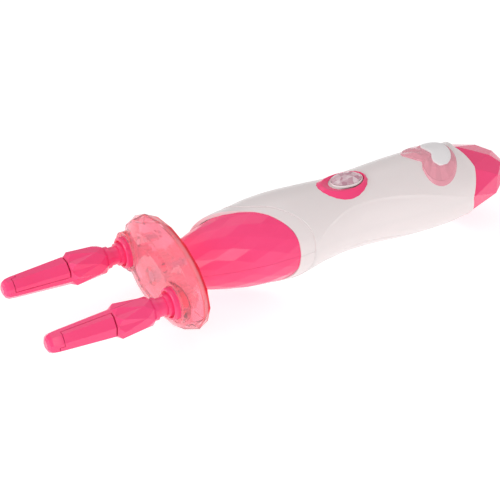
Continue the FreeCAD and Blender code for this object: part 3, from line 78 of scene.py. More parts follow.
# half the gap between the two shells: the grip's edges lap, the lip's stand a little apart
SEAM_HALF, LIP_SEAM_HALF = -0.22, 0.06
DOOR_START, DOOR_END, DOOR_HALF = 90.5, 152.5, 15.2
FLANK_HOLLOW, CROWN_RIDGE = 0.35, 0.10
LIP_LAP, SEAM_BEAD = 1.6, 0.32  # the lip runs on under the grip; a bead stands along the cap's seam
BUTTON_MIDDLE, HOLE_HALF_LENGTH, HOLE_HALF_WIDTH, HOLE_OFF = 95, 12.7, 8.4, 1.2


def place(x, y, z):
    """A point given in mm from the head's rear rim, in the part's own frame."""
    return Vector(((x - BODY_LENGTH) / 1000, y / 1000, z / 1000))


def around(x, reach, angle):
    """The same, from a distance off the axis and an angle from the top."""
    return place(x, reach * math.sin(angle), reach * math.cos(angle))


def smooth_row(rows, x):
    """The other columns of a table at x, on a smooth curve through its rows."""
    x = max(rows[0][0], min(rows[-1][0], x))
    i = max(0, min(len(rows) - 2, sum(1 for r in rows if r[0] <= x) - 1))
    before, low, high, after = rows[max(i - 1, 0)], rows[i], rows[i + 1], rows[min(i + 2, len(rows) - 1)]
    t = (x - low[0]) / (high[0] - low[0])
    out = []
    for k in range(1, len(low)):
        slope_low = (high[k] - before[k]) / max(1e-6, high[0] - before[0]) * (high[0] - low[0])
        slope_high = (after[k] - low[k]) / max(1e-6, after[0] - low[0]) * (high[0] - low[0])
        out.append((2 * t**3 - 3 * t**2 + 1) * low[k] + (t**3 - 2 * t**2 + t) * slope_low
                   + (-2 * t**3 + 3 * t**2) * high[k] + (t**3 - t**2) * slope_high)
    return out


def grip_reach(x, angle):
    """How far the grip's surface lies from the axis; a faint ridge runs between crown and flank."""
    crown, side, taller, lift = smooth_row(GRIP_STATIONS, x)
    tall = side + taller
    across, up = math.sin(angle), math.cos(angle)
    a = (across / side) ** 2 + (up / tall) ** 2
    b = up * lift / tall**2
    flank = min(crown, (b + math.sqrt(b * b - a * ((lift / tall) ** 2 - 1))) / a)
    past = math.degrees(math.acos(max(-1.0, min(1.0, up)))) - smooth_row(CREASE, x)[0]
    share = max(0.0, min(1.0, (past + 1.0) / 3.0))
    share = share * share * (3 - 2 * share)
    fade = max(0.0, min(1.0, (x - 64) / 8)) * max(0.0, min(1.0, (168 - x) / 12))
    hollow = FLANK_HOLLOW * math.sin(math.pi * max(0.0, min(1.0, past / 60))) * fade
    ridge = CROWN_RIDGE * math.exp(-((past + 0.8) / 1.6) ** 2) * fade
    return crown * (1 - share) + (flank - hollow) * share + ridge


def slanted_edge(table, reach_at, angle):
    """Where a surface of the given reach meets an edge that crosses the body at a slant."""
    x = 45.0
    for _ in range(40):
        x = 0.5 * x + 0.5 * smooth_row(table, reach_at(x) * math.sin(angle))[0]
    return x


def zigzag_edge(angle, reach=20.0):
    """The cap's seam: straight between eight corners, near and far in turn."""
    a = (math.pi / 2 - angle) % (2 * math.pi)
    i = int(a // (math.pi / 4))
    d = a - i * math.pi / 4
    near_or_far = 1 if i % 2 else -1
    share = near_or_far * (math.sin(math.pi / 4 - d) - math.sin(d)) / math.sin(math.pi / 4)
    return CAP_SEAM + CAP_ZIGZAG / 2 + CAP_ZIGZAG / 2 / CAP_ROOT * reach * share


def skin_from_rows(bm, rows, skip=lambda x, angle: False):
    """Quads between rows of (x, reach, angle) points, leaving out what skip names."""
    grid = [[bm.verts.new(around(*p)) for p in row] for row in rows]
    for i in range(len(grid) - 1):
        for j in range(len(grid[0]) - 1):
            x = (rows[i][j][0] + rows[i + 1][j + 1][0]) / 2
            angle = (rows[i][j][2] + rows[i + 1][j + 1][2]) / 2
            if not skip(x, angle):
                bm.faces.new((grid[i][j], grid[i][j + 1], grid[i + 1][j + 1], grid[i + 1][j]))


def piece_from(bm, name, material, body, slot, *replaced):
    """Turns a finished bmesh into a piece that rides on a body and stands for CAD nodes."""
    mesh = bpy.data.meshes.new(name)
    bm.verts.ensure_lookup_table()
    loose = [v for v in bm.verts if not v.link_faces]
    bmesh.ops.delete(bm, geom=loose, context="VERTS")
    bmesh.ops.recalc_face_normals(bm, faces=bm.faces)
    bm.to_mesh(mesh)
    bm.free()
    piece = bpy.data.objects.new(name, mesh)
    scene.collection.objects.link(piece)
    mesh.materials.append(material)
    mesh.polygons.foreach_set("use_smooth", [True] * len(mesh.polygons))
    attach(piece, body)
    if replaced:
        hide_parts(*replaced)
    return piece


SHELL_WALL, SHELL_EDGE = 1.8, 0.5


def eased(piece, width, angle, segments=2):
    """Rounds the edges that are sharper than the angle, as a mould leaves them."""
    bevel = piece.modifiers.new("edge", "BEVEL")
    bevel.width = width / 1000
    bevel.segments = segments
    bevel.limit_method = "ANGLE"
    bevel.angle_limit = math.radians(angle)
    piece.modifiers.new("even_shading", "WEIGHTED_NORMAL").keep_sharp = True
    return piece


def walled(piece):
    """Gives a shell its wall and soft edges."""
    solid = piece.modifiers.new("wall", "SOLIDIFY")
    solid.thickness = SHELL_WALL / 1000
    solid.offset = -1
    solid.use_even_offset = True
    eased(piece, SHELL_EDGE, 40, 4)


def moulding_group():
    """Shared by all mouldings: faint flow mottling, and a fine waviness of the polished skin."""
    group = bpy.data.node_groups.new("moulded_skin", "ShaderNodeTree")
    for name, kind, value in (("Mottle Size", "NodeSocketFloat", 60.0), ("Grain Size", "NodeSocketFloat", 900.0),
                              ("Waviness", "NodeSocketFloat", 0.05), ("Depth", "NodeSocketFloat", 0.0002)):
        group.interface.new_socket(name, in_out="INPUT", socket_type=kind).default_value = value
    group.interface.new_socket("Mottle", in_out="OUTPUT", socket_type="NodeSocketFloat")
    group.interface.new_socket("Scuff", in_out="OUTPUT", socket_type="NodeSocketFloat")
    group.interface.new_socket("Normal", in_out="OUTPUT", socket_type="NodeSocketVector")
    n, link = group.nodes, group.links.new
    inside, outside = n.new("NodeGroupInput"), n.new("NodeGroupOutput")
    where = n.new("ShaderNodeTexCoord")
    mottle, grain, scuff = n.new("ShaderNodeTexNoise"), n.new("ShaderNodeTexNoise"), n.new("ShaderNodeTexNoise")
    mottle.inputs["Detail"].default_value = 3.0
    grain.inputs["Detail"].default_value = 2.0
    scuff.inputs["Detail"].default_value = 6.0
    scuff.inputs["Scale"].default_value = 240.0
    for texture in (mottle, grain, scuff):
        link(where.outputs["Object"], texture.inputs["Vector"])
    link(inside.outputs["Mottle Size"], mottle.inputs["Scale"])
    link(inside.outputs["Grain Size"], grain.inputs["Scale"])
    bump = n.new("ShaderNodeBump")
    link(grain.outputs["Fac"], bump.inputs["Height"])
    link(inside.outputs["Waviness"], bump.inputs["Strength"])
    link(inside.outputs["Depth"], bump.inputs["Distance"])
    link(mottle.outputs["Fac"], outside.inputs["Mottle"])
    link(scuff.outputs["Fac"], outside.inputs["Scuff"])
    link(bump.outputs["Normal"], outside.inputs["Normal"])
    return group


moulded_skin = moulding_group()


def ramp(tree, source, low, high, start=0.3, end=0.7):
    """A colour or grey that changes with a mask."""
    node = tree.nodes.new("ShaderNodeValToRGB")
    node.color_ramp.elements[0].position, node.color_ramp.elements[1].position = start, end
    node.color_ramp.elements[0].color = (*low, 1) if len(low) == 3 else (low[0],) * 3 + (1,)
    node.color_ramp.elements[1].color = (*high, 1) if len(high) == 3 else (high[0],) * 3 + (1,)
    tree.links.new(source, node.inputs["Fac"])
    return node.outputs["Color"]


def plastic(name, dark, light, gloss=(0.24, 0.32), coat=0.25, soft=0.0, soft_colour=None, waviness=0.05,
            mottle=45.0, grain=700.0, specular=0.5):
    """A moulded plastic: two close shades, a gloss that varies a little, and some light inside it."""
    material = bpy.data.materials.new(name)
    material.use_nodes = True
    tree = material.node_tree
    shader = tree.nodes["Principled BSDF"]
    skin = tree.nodes.new("ShaderNodeGroup")
    skin.node_tree = moulded_skin
    skin.inputs["Mottle Size"].default_value = mottle
    skin.inputs["Grain Size"].default_value = grain
    skin.inputs["Waviness"].default_value = waviness
    tree.links.new(ramp(tree, skin.outputs["Mottle"], dark, light), shader.inputs["Base Color"])
    tree.links.new(ramp(tree, skin.outputs["Scuff"], (gloss[0],), (gloss[1],)), shader.inputs["Roughness"])
    tree.links.new(skin.outputs["Normal"], shader.inputs["Normal"])
    shader.inputs["Coat Weight"].default_value = coat
    shader.inputs["Coat Roughness"].default_value = 0.12
    shader.inputs["Specular IOR Level"].default_value = specular
    if soft:
        shader.inputs["Subsurface Weight"].default_value = soft
        shader.inputs["Subsurface Radius"].default_value = soft_colour or (1.0, 0.9, 0.85)
        shader.inputs["Subsurface Scale"].default_value = 0.002
    return material


white_plastic = plastic("white_gloss_plastic", (0.805, 0.722, 0.720), (0.815, 0.732, 0.730), gloss=(0.30, 0.34),
                        coat=0.15, soft=0.15, soft_colour=(1.0, 0.8, 0.8), waviness=0.008)


def lip_reach(x):
    return smooth_row(LIP_SHAPE, x)[0]


def lip_edge(angle):
    return slanted_edge(LIP_EDGE, lip_reach, angle)


step_edges = {}


def step_edge(angle):
    key = round(angle, 3)
    if key not in step_edges:
        step_edges[key] = slanted_edge(STEP_EDGE, lambda x: grip_reach(x, angle), angle)
    return step_edges[key]


def column_angles(first, last, count):
    return [first + (last - first) * i / count for i in range(count + 1)]


GRIP_ROWS, LIP_ROWS = 100, 18


def lip_rows(angles):
    rows = []
    edges = [(lip_edge(angle), step_edge(angle) + LIP_LAP, angle) for angle in angles]
    for i in range(LIP_ROWS + 1):
        row = [(front + (rear - front) * i / LIP_ROWS, angle) for front, rear, angle in edges]
        rows.append([(x, lip_reach(x), angle) for x, angle in row])
    return rows


def grip_x(share, angle):
    """Rows run from the step's edge to the cap's seam, and lie straight across along the door."""
    front, rear = step_edge(angle), zigzag_edge(angle)
    for low, high, start, end in ((0, 0.25, front, DOOR_START), (0.25, 0.8, DOOR_START, DOOR_END),
                                  (0.8, 1.0, DOOR_END, rear)):
        if share <= high:
            return start + (end - start) * (share - low) / (high - low)
    return rear


def grip_rows(angles_at):
    rows = []
    for i in range(GRIP_ROWS + 1):
        row = []
        for j in range(len(angles_at(100.0))):
            angle = angles_at(100.0)[j]
            x = grip_x(i / GRIP_ROWS, angle)
            angle = angles_at(x)[j]
            x = grip_x(i / GRIP_ROWS, angle)
            bead = SEAM_BEAD * max(0.0, 1 - abs(x - zigzag_edge(angle) + 0.7) / 0.9) ** 0.5
            row.append((x, grip_reach(x, angle) + bead, angle))
        rows.append(row)
    return rows


seam_angle = math.asin(SEAM_HALF / 21)
upper_angles = column_angles(-math.pi / 2 + seam_angle, math.pi / 2 - seam_angle, 150)


def button_hole(x, angle):
    """The oval hole in the crown, under the bezel."""
    across = 20.4 * math.sin(angle) + HOLE_OFF
    return ((x - BUTTON_MIDDLE) / HOLE_HALF_LENGTH) ** 2 + (across / HOLE_HALF_WIDTH) ** 2 < 1 and abs(angle) < 1


bm = bmesh.new()
skin_from_rows(bm, grip_rows(lambda x: upper_angles), skip=button_hole)
skin_from_rows(bm, lip_rows(column_angles(-math.pi / 2 + LIP_SEAM_HALF / 21, math.pi / 2 - LIP_SEAM_HALF / 21, 72)))
walled(piece_from(bm, "grip_upper_shell", white_plastic, "handle", "white_shell", "handle_top"))


def door_angle(x):
    """Where the grip is as far off the middle as the door's long edge."""
    angle = math.pi - 0.8
    for _ in range(20):
        angle = math.pi - math.asin(min(0.98, DOOR_HALF / grip_reach(x, angle)))
    return angle


door_angles = {}


def lower_angles(x):
    key = round(x, 2)
    if key not in door_angles:
        edge = door_angle(min(max(x, DOOR_START), DOOR_END))
        first = math.pi / 2 + seam_angle
        door_angles[key] = ([first + (edge - first) * i / 18 for i in range(18)]
                            + [edge + (2 * math.pi - 2 * edge) * i / 36 for i in range(36)]
                            + [2 * math.pi - edge + (edge - first) * i / 18 for i in range(19)])
    return door_angles[key]


def door_space(x, angle):
    return DOOR_START < x < DOOR_END and door_angle(x) < angle < 2 * math.pi - door_angle(x)


bm = bmesh.new()
skin_from_rows(bm, grip_rows(lower_angles), skip=door_space)
skin_from_rows(bm, lip_rows(column_angles(math.pi / 2 + LIP_SEAM_HALF / 21, 1.5 * math.pi - LIP_SEAM_HALF / 21, 72)))
walled(piece_from(bm, "grip_lower_shell", white_plastic, "handle", "white_shell", "handle_bottom"))

# --------------------------------------------------------------------------------------
# Battery door
# A lid in the underside, in the same white gloss plastic as the shells. It drops into its
# opening and is held by one screw, sunk into a boss at its front.
# --------------------------------------------------------------------------------------
def eased_copy(node, name, material, body, slot, edge, sharp=16):
    """A node's own form, with its sharp edges eased."""
    bm = bmesh.new()
    bm.from_mesh(nodes[node].data)
    bmesh.ops.remove_doubles(bm, verts=bm.verts, dist=2e-6)
    bmesh.ops.dissolve_limit(bm, angle_limit=math.radians(0.8), verts=bm.verts, edges=bm.edges)
    return eased(piece_from(bm, name, material, body, slot, node), edge, sharp)


eased_copy("battery_door", "battery_lid", white_plastic, "battery_door", "white_shell", 0.2, sharp=40)

# --------------------------------------------------------------------------------------
# Faceted nose cone
# Two hot pink gloss mouldings, cut like a gem into flat diamonds that meet in eased edges. They
# join at the level of the axis and are held inside the white lip.
# --------------------------------------------------------------------------------------
hot_pink = plastic("hot_pink_plastic", (0.94, 0.050, 0.190), (0.97, 0.060, 0.215), gloss=(0.18, 0.23), coat=0.25,
                   soft=0.10, soft_colour=(1.0, 0.25, 0.4), waviness=0.015, specular=0.4)
CONE_RADIUS, CONE_CREST = 21.67, 57.0
FACET_PITCH, FACETS_ROUND, LAST_FACET_RING = 9.2, 18, 52.3


def cone_law(x):
    """Radius of the facet corners; on this law the diamonds are flat."""
    return CONE_RADIUS * math.cos(math.pi / FACETS_ROUND * (CONE_CREST - x) / FACET_PITCH)


def turned_tool(name, profile, count=64):
    """A closed turned solid about the axis, used to cut a piece."""
    bm = bmesh.new()
    rings = []
    for x, radius in profile:
        if radius == 0:
            rings.append([bm.verts.new(around(x, 0, 0))] * count)
        else:
            rings.append([bm.verts.new(around(x, radius, 2 * math.pi * i / count)) for i in range(count)])
    for a, b in zip(rings, rings[1:]):
        for i in range(count):
            corners = []
            for v in (a[i], a[(i + 1) % count], b[(i + 1) % count], b[i]):
                if v not in corners:
                    corners.append(v)
            if len(corners) > 2:
                bm.faces.new(corners)
    bmesh.ops.recalc_face_normals(bm, faces=bm.faces)
    return tool_from(bm, name)


def tool_from(bm, name):
    mesh = bpy.data.meshes.new(name)
    bm.to_mesh(mesh)
    bm.free()
    tool = bpy.data.objects.new(name, mesh)
    scene.collection.objects.link(tool)
    return tool


def carve(blank, *steps):
    """Applies boolean steps of (operation, tool) to a blank, and returns the result as a bmesh."""
    for operation, tool in steps:
        step = blank.modifiers.new(operation, "BOOLEAN")
        step.operation = operation
        step.solver = "EXACT"
        step.object = tool
    bpy.context.view_layer.update()
    graph = bpy.context.evaluated_depsgraph_get()
    bm = bmesh.new()
    bm.from_mesh(blank.evaluated_get(graph).data)
    for thing in [blank] + [tool for _, tool in steps]:
        if thing.name in bpy.data.objects:
            bpy.data.objects.remove(thing)
    return bm


def diamond_cone():
    """The cone as flat diamonds between staggered rings of corners, with eased edges."""
    bm = bmesh.new()
    count = FACETS_ROUND
    rings = []
    for k in range(-7, 4):
        x = LAST_FACET_RING + k * FACET_PITCH
        shift = 0.5 * ((k + 1) % 2)
        rings.append([bm.verts.new(place(x, cone_law(x) * math.cos(2 * math.pi * (i + shift) / count),
                                         cone_law(x) * math.sin(2 * math.pi * (i + shift) / count)))
                      for i in range(count)])
    for k in range(len(rings) - 2):
        shifted = (k - 7 + 1) % 2
        for i in range(count):
            left, right = (i, (i + 1) % count) if shifted else ((i - 1) % count, i)
            bm.faces.new((rings[k][i], rings[k + 1][right], rings[k + 2][i], rings[k + 1][left]))
    bmesh.ops.bevel(bm, geom=[e for e in bm.edges if len(e.link_faces) == 2], offset=0.00032, segments=2,
                    profile=0.5, affect="EDGES", clamp_overlap=True)
    edges = [e for e in bm.edges if e.is_boundary]
    bmesh.ops.holes_fill(bm, edges=edges, sides=0)
    bmesh.ops.recalc_face_normals(bm, faces=bm.faces)
    return bm


LIP_UNDERCUT = 0.2


def front_block():
    """Everything in front of the lip's slanted edge, and a little way under it."""
    bm = bmesh.new()
    steps = [-26 + 52 * i / 96 for i in range(97)]
    outline = [(1.2, -26)] + [(smooth_row(LIP_EDGE, y)[0] + LIP_UNDERCUT, y) for y in steps] + [(1.2, 26)]
    under = [bm.verts.new(place(x, y, -40)) for x, y in outline]
    over = [bm.verts.new(place(x, y, 40)) for x, y in outline]
    bm.faces.new(under)
    bm.faces.new(over[::-1])
    for i in range(len(under)):
        j = (i + 1) % len(under)
        bm.faces.new((under[i], under[j], over[j], over[i]))
    bmesh.ops.recalc_face_normals(bm, faces=bm.faces)
    return bm


def half_space(lower, name):
    bm = bmesh.new()
    bmesh.ops.create_cube(bm, size=0.4)
    shift = 0.2 + LIP_SEAM_HALF / 1000
    bmesh.ops.translate(bm, verts=bm.verts, vec=(0, 0, -shift if lower else shift))
    return tool_from(bm, name)


NOSE_CAVITY = [(4, 0), (4, 8.7), (6.9, 8.7), (6.9, 6), (8.5, 6), (8.5, 8.4), (14, 12), (24, 15.3), (36, 17.6),
               (80, 17.6), (80, 0)]
for lower, name, node in ((False, "nose_cone_upper", "nose_cone_top"), (True, "nose_cone_lower", "nose_cone_bottom")):
    carved = carve(tool_from(diamond_cone(), "cone_blank"),
                   ("INTERSECT", tool_from(front_block(), "cone_opening")),
                   ("DIFFERENCE", turned_tool("cone_cavity", NOSE_CAVITY)),
                   ("DIFFERENCE", turned_tool("cone_mouth", [(-4, 0), (-4, 5.3), (5, 5.3), (5, 0)])),
                   ("INTERSECT", half_space(lower, "half")))
    piece = piece_from(carved, name, hot_pink, "handle", "pink_shell", node)
    piece.data.set_sharp_from_angle(angle=math.radians(35))
    piece.modifiers.new("even_shading", "WEIGHTED_NORMAL").keep_sharp = True

# --------------------------------------------------------------------------------------
# Rear cap
# A hot pink moulding with eight-sided facets and a small flat end, plugged into the rear of
# the two shells behind their zigzag edge.
# --------------------------------------------------------------------------------------
cap = eased_copy("rear_cap", "faceted_rear_cap", hot_pink, "handle", "pink_shell", 0.3, sharp=8)
CAP_DROP, DROP_START, DROP_LENGTH = 0.15, -0.0245, 0.0143
for v in cap.data.vertices:
    if v.co.z > 0:
        v.co.z *= 1 - CAP_DROP * min(1.0, max(0.0, (v.co.x - DROP_START) / DROP_LENGTH))

# --------------------------------------------------------------------------------------
# Push button
# A hot pink bezel of slanting panels round a white cap, which carries a cut clear stone and
# goes down on a spring.
# --------------------------------------------------------------------------------------
def dress(material, *names):
    """Puts a material on nodes whose own shape is shown."""
    for name in names:
        for place_for in nodes[name].material_slots:
            place_for.material = material


def clear_plastic(name, low, high, clear, tint, strength, gloss=(0.03, 0.07), waviness=0.03, grain=500.0, index=1.49):
    """A see-through plastic with a milky share: coloured by its depth, and it lets the lamps through."""
    material = bpy.data.materials.new(name)
    material.use_nodes = True
    tree = material.node_tree
    shader = tree.nodes["Principled BSDF"]
    skin = tree.nodes.new("ShaderNodeGroup")
    skin.node_tree = moulded_skin
    skin.inputs["Grain Size"].default_value = grain
    skin.inputs["Waviness"].default_value = waviness
    tree.links.new(ramp(tree, skin.outputs["Mottle"], low, high), shader.inputs["Base Color"])
    tree.links.new(ramp(tree, skin.outputs["Scuff"], (gloss[0],), (gloss[1],)), shader.inputs["Roughness"])
    tree.links.new(skin.outputs["Normal"], shader.inputs["Normal"])
    shader.inputs["Transmission Weight"].default_value = clear
    shader.inputs["IOR"].default_value = index
    through = tree.nodes.new("ShaderNodeBsdfTransparent")
    ray = tree.nodes.new("ShaderNodeLightPath")
    either = tree.nodes.new("ShaderNodeMixShader")
    tree.links.new(ray.outputs["Is Shadow Ray"], either.inputs["Fac"])
    tree.links.new(shader.outputs["BSDF"], either.inputs[1])
    tree.links.new(through.outputs["BSDF"], either.inputs[2])
    depth = tree.nodes.new("ShaderNodeVolumeAbsorption")
    depth.inputs["Color"].default_value = (*tint, 1)
    depth.inputs["Density"].default_value = strength
    end = tree.nodes["Material Output"]
    tree.links.new(either.outputs["Shader"], end.inputs["Surface"])
    tree.links.new(depth.outputs["Volume"], end.inputs["Volume"])
    return material


def oval_rings(bm, rings, count, off):
    """Rings of (middle x, half-length, half-width, height, turn), a little to the near side of the middle."""
    loops = []
    for middle, length, width, height, turn in rings:
        loop = []
        for i in range(count):
            t = 2 * math.pi * (i + turn) / count
            x, y = middle + length * math.cos(t), width * math.sin(t) + off
            loop.append(bm.verts.new(place(x, y, height(x, y, t) if callable(height) else height)))
        loops.append(loop)
    return loops


def crown_height(x, y, t=0):
    return math.sqrt(smooth_row(GRIP_STATIONS, x)[0] ** 2 - y * y) - 0.15


def faceted(piece, edge, angle=8):
    """Keeps the facets flat and eases the edges between them."""
    piece.data.set_sharp_from_angle(angle=math.radians(angle))
    return eased(piece, edge, angle)


def rim_height(x, y, t):
    """The bezel's rim is higher at its two ends."""
    return 21.0 + 1.0 * math.cos(t) ** 2 + 0.06 * y


def band(bm, loops):
    """Faces from each ring to the next."""
    for a, b in zip(loops, loops[1:]):
        for i in range(len(a)):
            bm.faces.new((a[i], a[(i + 1) % len(a)], b[(i + 1) % len(a)], b[i]))


BEZEL_PANELS, RIM_STEPS, STONE_SIDES = 20, 24, 12
BEZEL_OFF, CAP_OFF = -1.7, -1.2  # how far their middles lie to the near side

bm = bmesh.new()
loops = oval_rings(bm, [(95.1, 14.4, 10.4, crown_height, 0), (95.8, 12.4, 7.7, rim_height, 0),
                        (95.9, 11.9, 7.2, rim_height, 0), (97.7, 9.8, 7.05, 20.65, 0), (95.7, 11.7, 7.1, 20.6, 0),
                        (95.7, 11.7, 7.1, 18.6, 0)], BEZEL_PANELS, BEZEL_OFF)
band(bm, loops + loops[:1])
faceted(piece_from(bm, "button_bezel_ring", hot_pink, "handle", "pink_shell", "button_bezel"), 0.18)

eased_copy("button_cap", "button_white_cap", white_plastic, "button", "white_shell", 0.2)
bm = bmesh.new()
loops = oval_rings(bm, [(98.1, 9.1, 6.5, 20.45, 0), (98.1, 9.2, 6.6, 21.0, 0), (98.1, 8.8, 6.1, 21.8, 0),
                        (98.1, 7.9, 5.2, 20.45, 0)], RIM_STEPS, CAP_OFF)
band(bm, loops + loops[:1])
faceted(piece_from(bm, "button_white_rim", white_plastic, "button", "white_shell"), 0.1, 30)

clear_stone = clear_plastic("clear_stone", (0.90, 0.74, 0.78), (0.94, 0.80, 0.83), 0.35, (0.90, 0.62, 0.70), 60.0,
                            gloss=(0.03, 0.06), index=1.45)
tree = clear_stone.node_tree
# Painted glints: the stone's colour is broken into random light and dark cells that stand in for reflections inside the
# cut stone.
where, painted_glints = tree.nodes.new("ShaderNodeTexCoord"), tree.nodes.new("ShaderNodeTexVoronoi")
painted_glints.inputs["Scale"].default_value = 420.0
tree.links.new(where.outputs["Object"], painted_glints.inputs["Vector"])
tree.links.new(ramp(tree, painted_glints.outputs["Color"], (0.60, 0.32, 0.40), (0.96, 0.82, 0.86), 0.2, 0.8),
               tree.nodes["Principled BSDF"].inputs["Base Color"])
bm = bmesh.new()
loops = oval_rings(bm, [(98.1, 7.8, 5.1, 20.45, 0), (98.1, 8.7, 6.0, 21.9, 0), (98.1, 6.6, 4.2, 22.9, 0.5),
                        (98.1, 3.6, 2.3, 23.35, 0)], STONE_SIDES, CAP_OFF)
bm.faces.new(loops[0])
bm.faces.new(loops[3])
for i in range(STONE_SIDES):
    j = (i + 1) % STONE_SIDES
    bm.faces.new((loops[0][i], loops[0][j], loops[1][j], loops[1][i]))
    bm.faces.new((loops[1][i], loops[1][j], loops[2][i]))
    bm.faces.new((loops[1][j], loops[2][j], loops[2][i]))
    bm.faces.new((loops[2][i], loops[2][j], loops[3][j]))
    bm.faces.new((loops[2][i], loops[3][j], loops[3][i]))
faceted(piece_from(bm, "button_cut_stone", clear_stone, "button", "stone_clear", "button_stone"), 0.06)

# --------------------------------------------------------------------------------------
# Bow badge and its label
# A see-through pale pink bow, moulded with folds and set into the crown, with a bare white oval
# label over its knot.
# --------------------------------------------------------------------------------------
bow_plastic = clear_plastic("bow_plastic", (0.86, 0.36, 0.44), (0.90, 0.42, 0.50), 0.30, (0.95, 0.42, 0.55), 110.0,
                            gloss=(0.08, 0.12), index=1.4)
label_plastic = plastic("label_satin", (0.83, 0.79, 0.80), (0.86, 0.82, 0.83), gloss=(0.34, 0.42), coat=0.1)
# (x, y, how far the fold stands up)
BOW_EDGE = [(141.0, -5.7, -0.4), (139.1, -9, 0.2), (138.7, -12, 0.4), (139.5, -15.2, -0.3), (142.2, -17.3, 0.4),
            (146, -18.2, -0.3), (150.5, -17.9, 0.4), (154.6, -16.2, -0.3), (158.1, -12.9, 0.4), (160.6, -8.3, -0.3),
            (161.5, -3.5, 0.2), (161.5, 2, -0.2), (160, 7, 0.4), (156, 11, -0.3), (150, 13.4, 0.4), (144, 13, -0.3),
            (139.8, 10.6, 0.4), (136.5, 7.2, -0.3), (135.2, 3.4, 0.4), (137, -0.6, 0.2), (139, -3.6, -0.2)]
LABEL_EDGE = [(147.9, 1.5), (148.5, -2.6), (146.9, -5.8), (146.3, -8.5), (147.8, -10.6), (150.1, -11.7), (152.9, -11.3),
              (155.7, -9.9), (158.1, -7), (159.5, -2.9), (159.7, 2), (158, 6.5), (154, 9), (149.8, 8), (147.8, 5)]


def smooth_loop(corners, fine):
    """A smooth closed outline through its corners."""
    out = []
    for i in range(len(corners)):
        p, q, r, u = (corners[(i + k) % len(corners)] for k in (-1, 0, 1, 2))
        for step in range(fine):
            t = step / fine
            out.append([0.5 * (2 * q[k] + (r[k] - p[k]) * t + (2 * p[k] - 5 * q[k] + 4 * r[k] - u[k]) * t * t
                               + (3 * q[k] - p[k] - 3 * r[k] + u[k]) * t**3) for k in (0, 1)]
                       + [k * (1 - t) + m * t for k, m in zip(q[2:], r[2:])])
    return out


def on_crown(x, y, above):
    """A point seen from above, at a height over the grip."""
    angle = math.asin(max(-0.98, min(0.98, y / 21.5)))
    for _ in range(6):
        angle = math.asin(max(-0.98, min(0.98, y / (grip_reach(x, angle) + above))))
    return around(x, grip_reach(x, angle) + above, angle)


def badge(outline, rings, middle):
    """Rings of (how far in, height over the grip, share of the folds), closed at the bottom and the top."""
    bm = bmesh.new()
    loops = []
    for shrink, above, fold in rings:
        loops.append([bm.verts.new(on_crown(p[0] + (middle[0] - p[0]) * shrink, p[1] + (middle[1] - p[1]) * shrink,
                                            above + (fold * p[2] if fold else 0))) for p in outline])
    band(bm, loops)
    bm.faces.new(loops[0])
    bm.faces.new(loops[-1])
    bmesh.ops.triangulate(bm, faces=[f for f in bm.faces if len(f.verts) > 4])
    return bm


bm = badge(smooth_loop(BOW_EDGE, 2), ((0, -0.6, 0), (0, 0.10, 0), (0.05, 0.80, 0), (0.09, 0.55, 0.5), (0.36, 1.15, 1.2),
                                      (0.60, 0.9, 0)), (150.5, -2.5))
faceted(piece_from(bm, "bow_badge_loops", bow_plastic, "handle", "bow_pink", "bow_badge"), 0.10, 6)
bm = badge(smooth_loop(LABEL_EDGE, 5), ((0, 0.7, 0), (0, 1.45, 0), (0.05, 1.62, 0), (0.35, 1.66, 0), (0.7, 1.66, 0),
                                        (0.97, 1.66, 0)), (153, -1.5))
faceted(piece_from(bm, "bare_oval_label", label_plastic, "handle", "label_white", "label_plate"), 0.1, 40)

# --------------------------------------------------------------------------------------
# Head
# A clear pink faceted cover, with a raised ring round each spindle, screwed to a clear back
# plate from behind. The steel shaft that turns it is pressed into its hub.
# --------------------------------------------------------------------------------------
head_pink = clear_plastic("clear_pink_plastic", (0.98, 0.56, 0.66), (1.0, 0.62, 0.72), 0.82, (1.0, 0.28, 0.38), 110.0,
                          gloss=(0.04, 0.07), index=1.3)
# Painted shade: the bevels and the rear rim of the clear cover and plate get a deep red, darkest towards the rear. It
# stands in for the darker colour that light takes through the plastic's edges.
head_edge_shade = clear_plastic("clear_pink_painted_edge_shade", (0.96, 0.15, 0.24), (0.98, 0.20, 0.30), 0.6, (1.0, 0.28, 0.38), 110.0,
                           gloss=(0.04, 0.07), index=1.3)
tree = head_edge_shade.node_tree
where, split = tree.nodes.new("ShaderNodeTexCoord"), tree.nodes.new("ShaderNodeSeparateXYZ")
rear_shade_mask = tree.nodes.new("ShaderNodeMapRange")
rear_shade_mask.inputs["From Min"].default_value, rear_shade_mask.inputs["From Max"].default_value = -0.1962, -0.1950
tree.links.new(where.outputs["Object"], split.inputs["Vector"])
tree.links.new(split.outputs["X"], rear_shade_mask.inputs["Value"])
tree.links.new(ramp(tree, rear_shade_mask.outputs["Result"], (1.0, 0.50, 0.58), (0.90, 0.03, 0.09), 0.1, 0.9),
               tree.nodes["Principled BSDF"].inputs["Base Color"])
RIM_START, RIM_REACH = -0.1972, 0.024
for node, name in (("head_cover", "head_clear_cover"), ("head_back_plate", "head_clear_plate")):
    piece = eased_copy(node, name, head_pink, "head", "clear_pink", 0.3, sharp=9)
    piece.data.materials.append(head_edge_shade)
    piece.modifiers["edge"].material = 1
    # The rim faces that face outward at the rear take the painted edge shade too.
    for face in piece.data.polygons:
        off_axis = math.hypot(face.center.y, face.center.z)
        if face.center.x > RIM_START and off_axis > RIM_REACH and math.hypot(face.normal.y, face.normal.z) > 0.6:
            face.material_index = 1


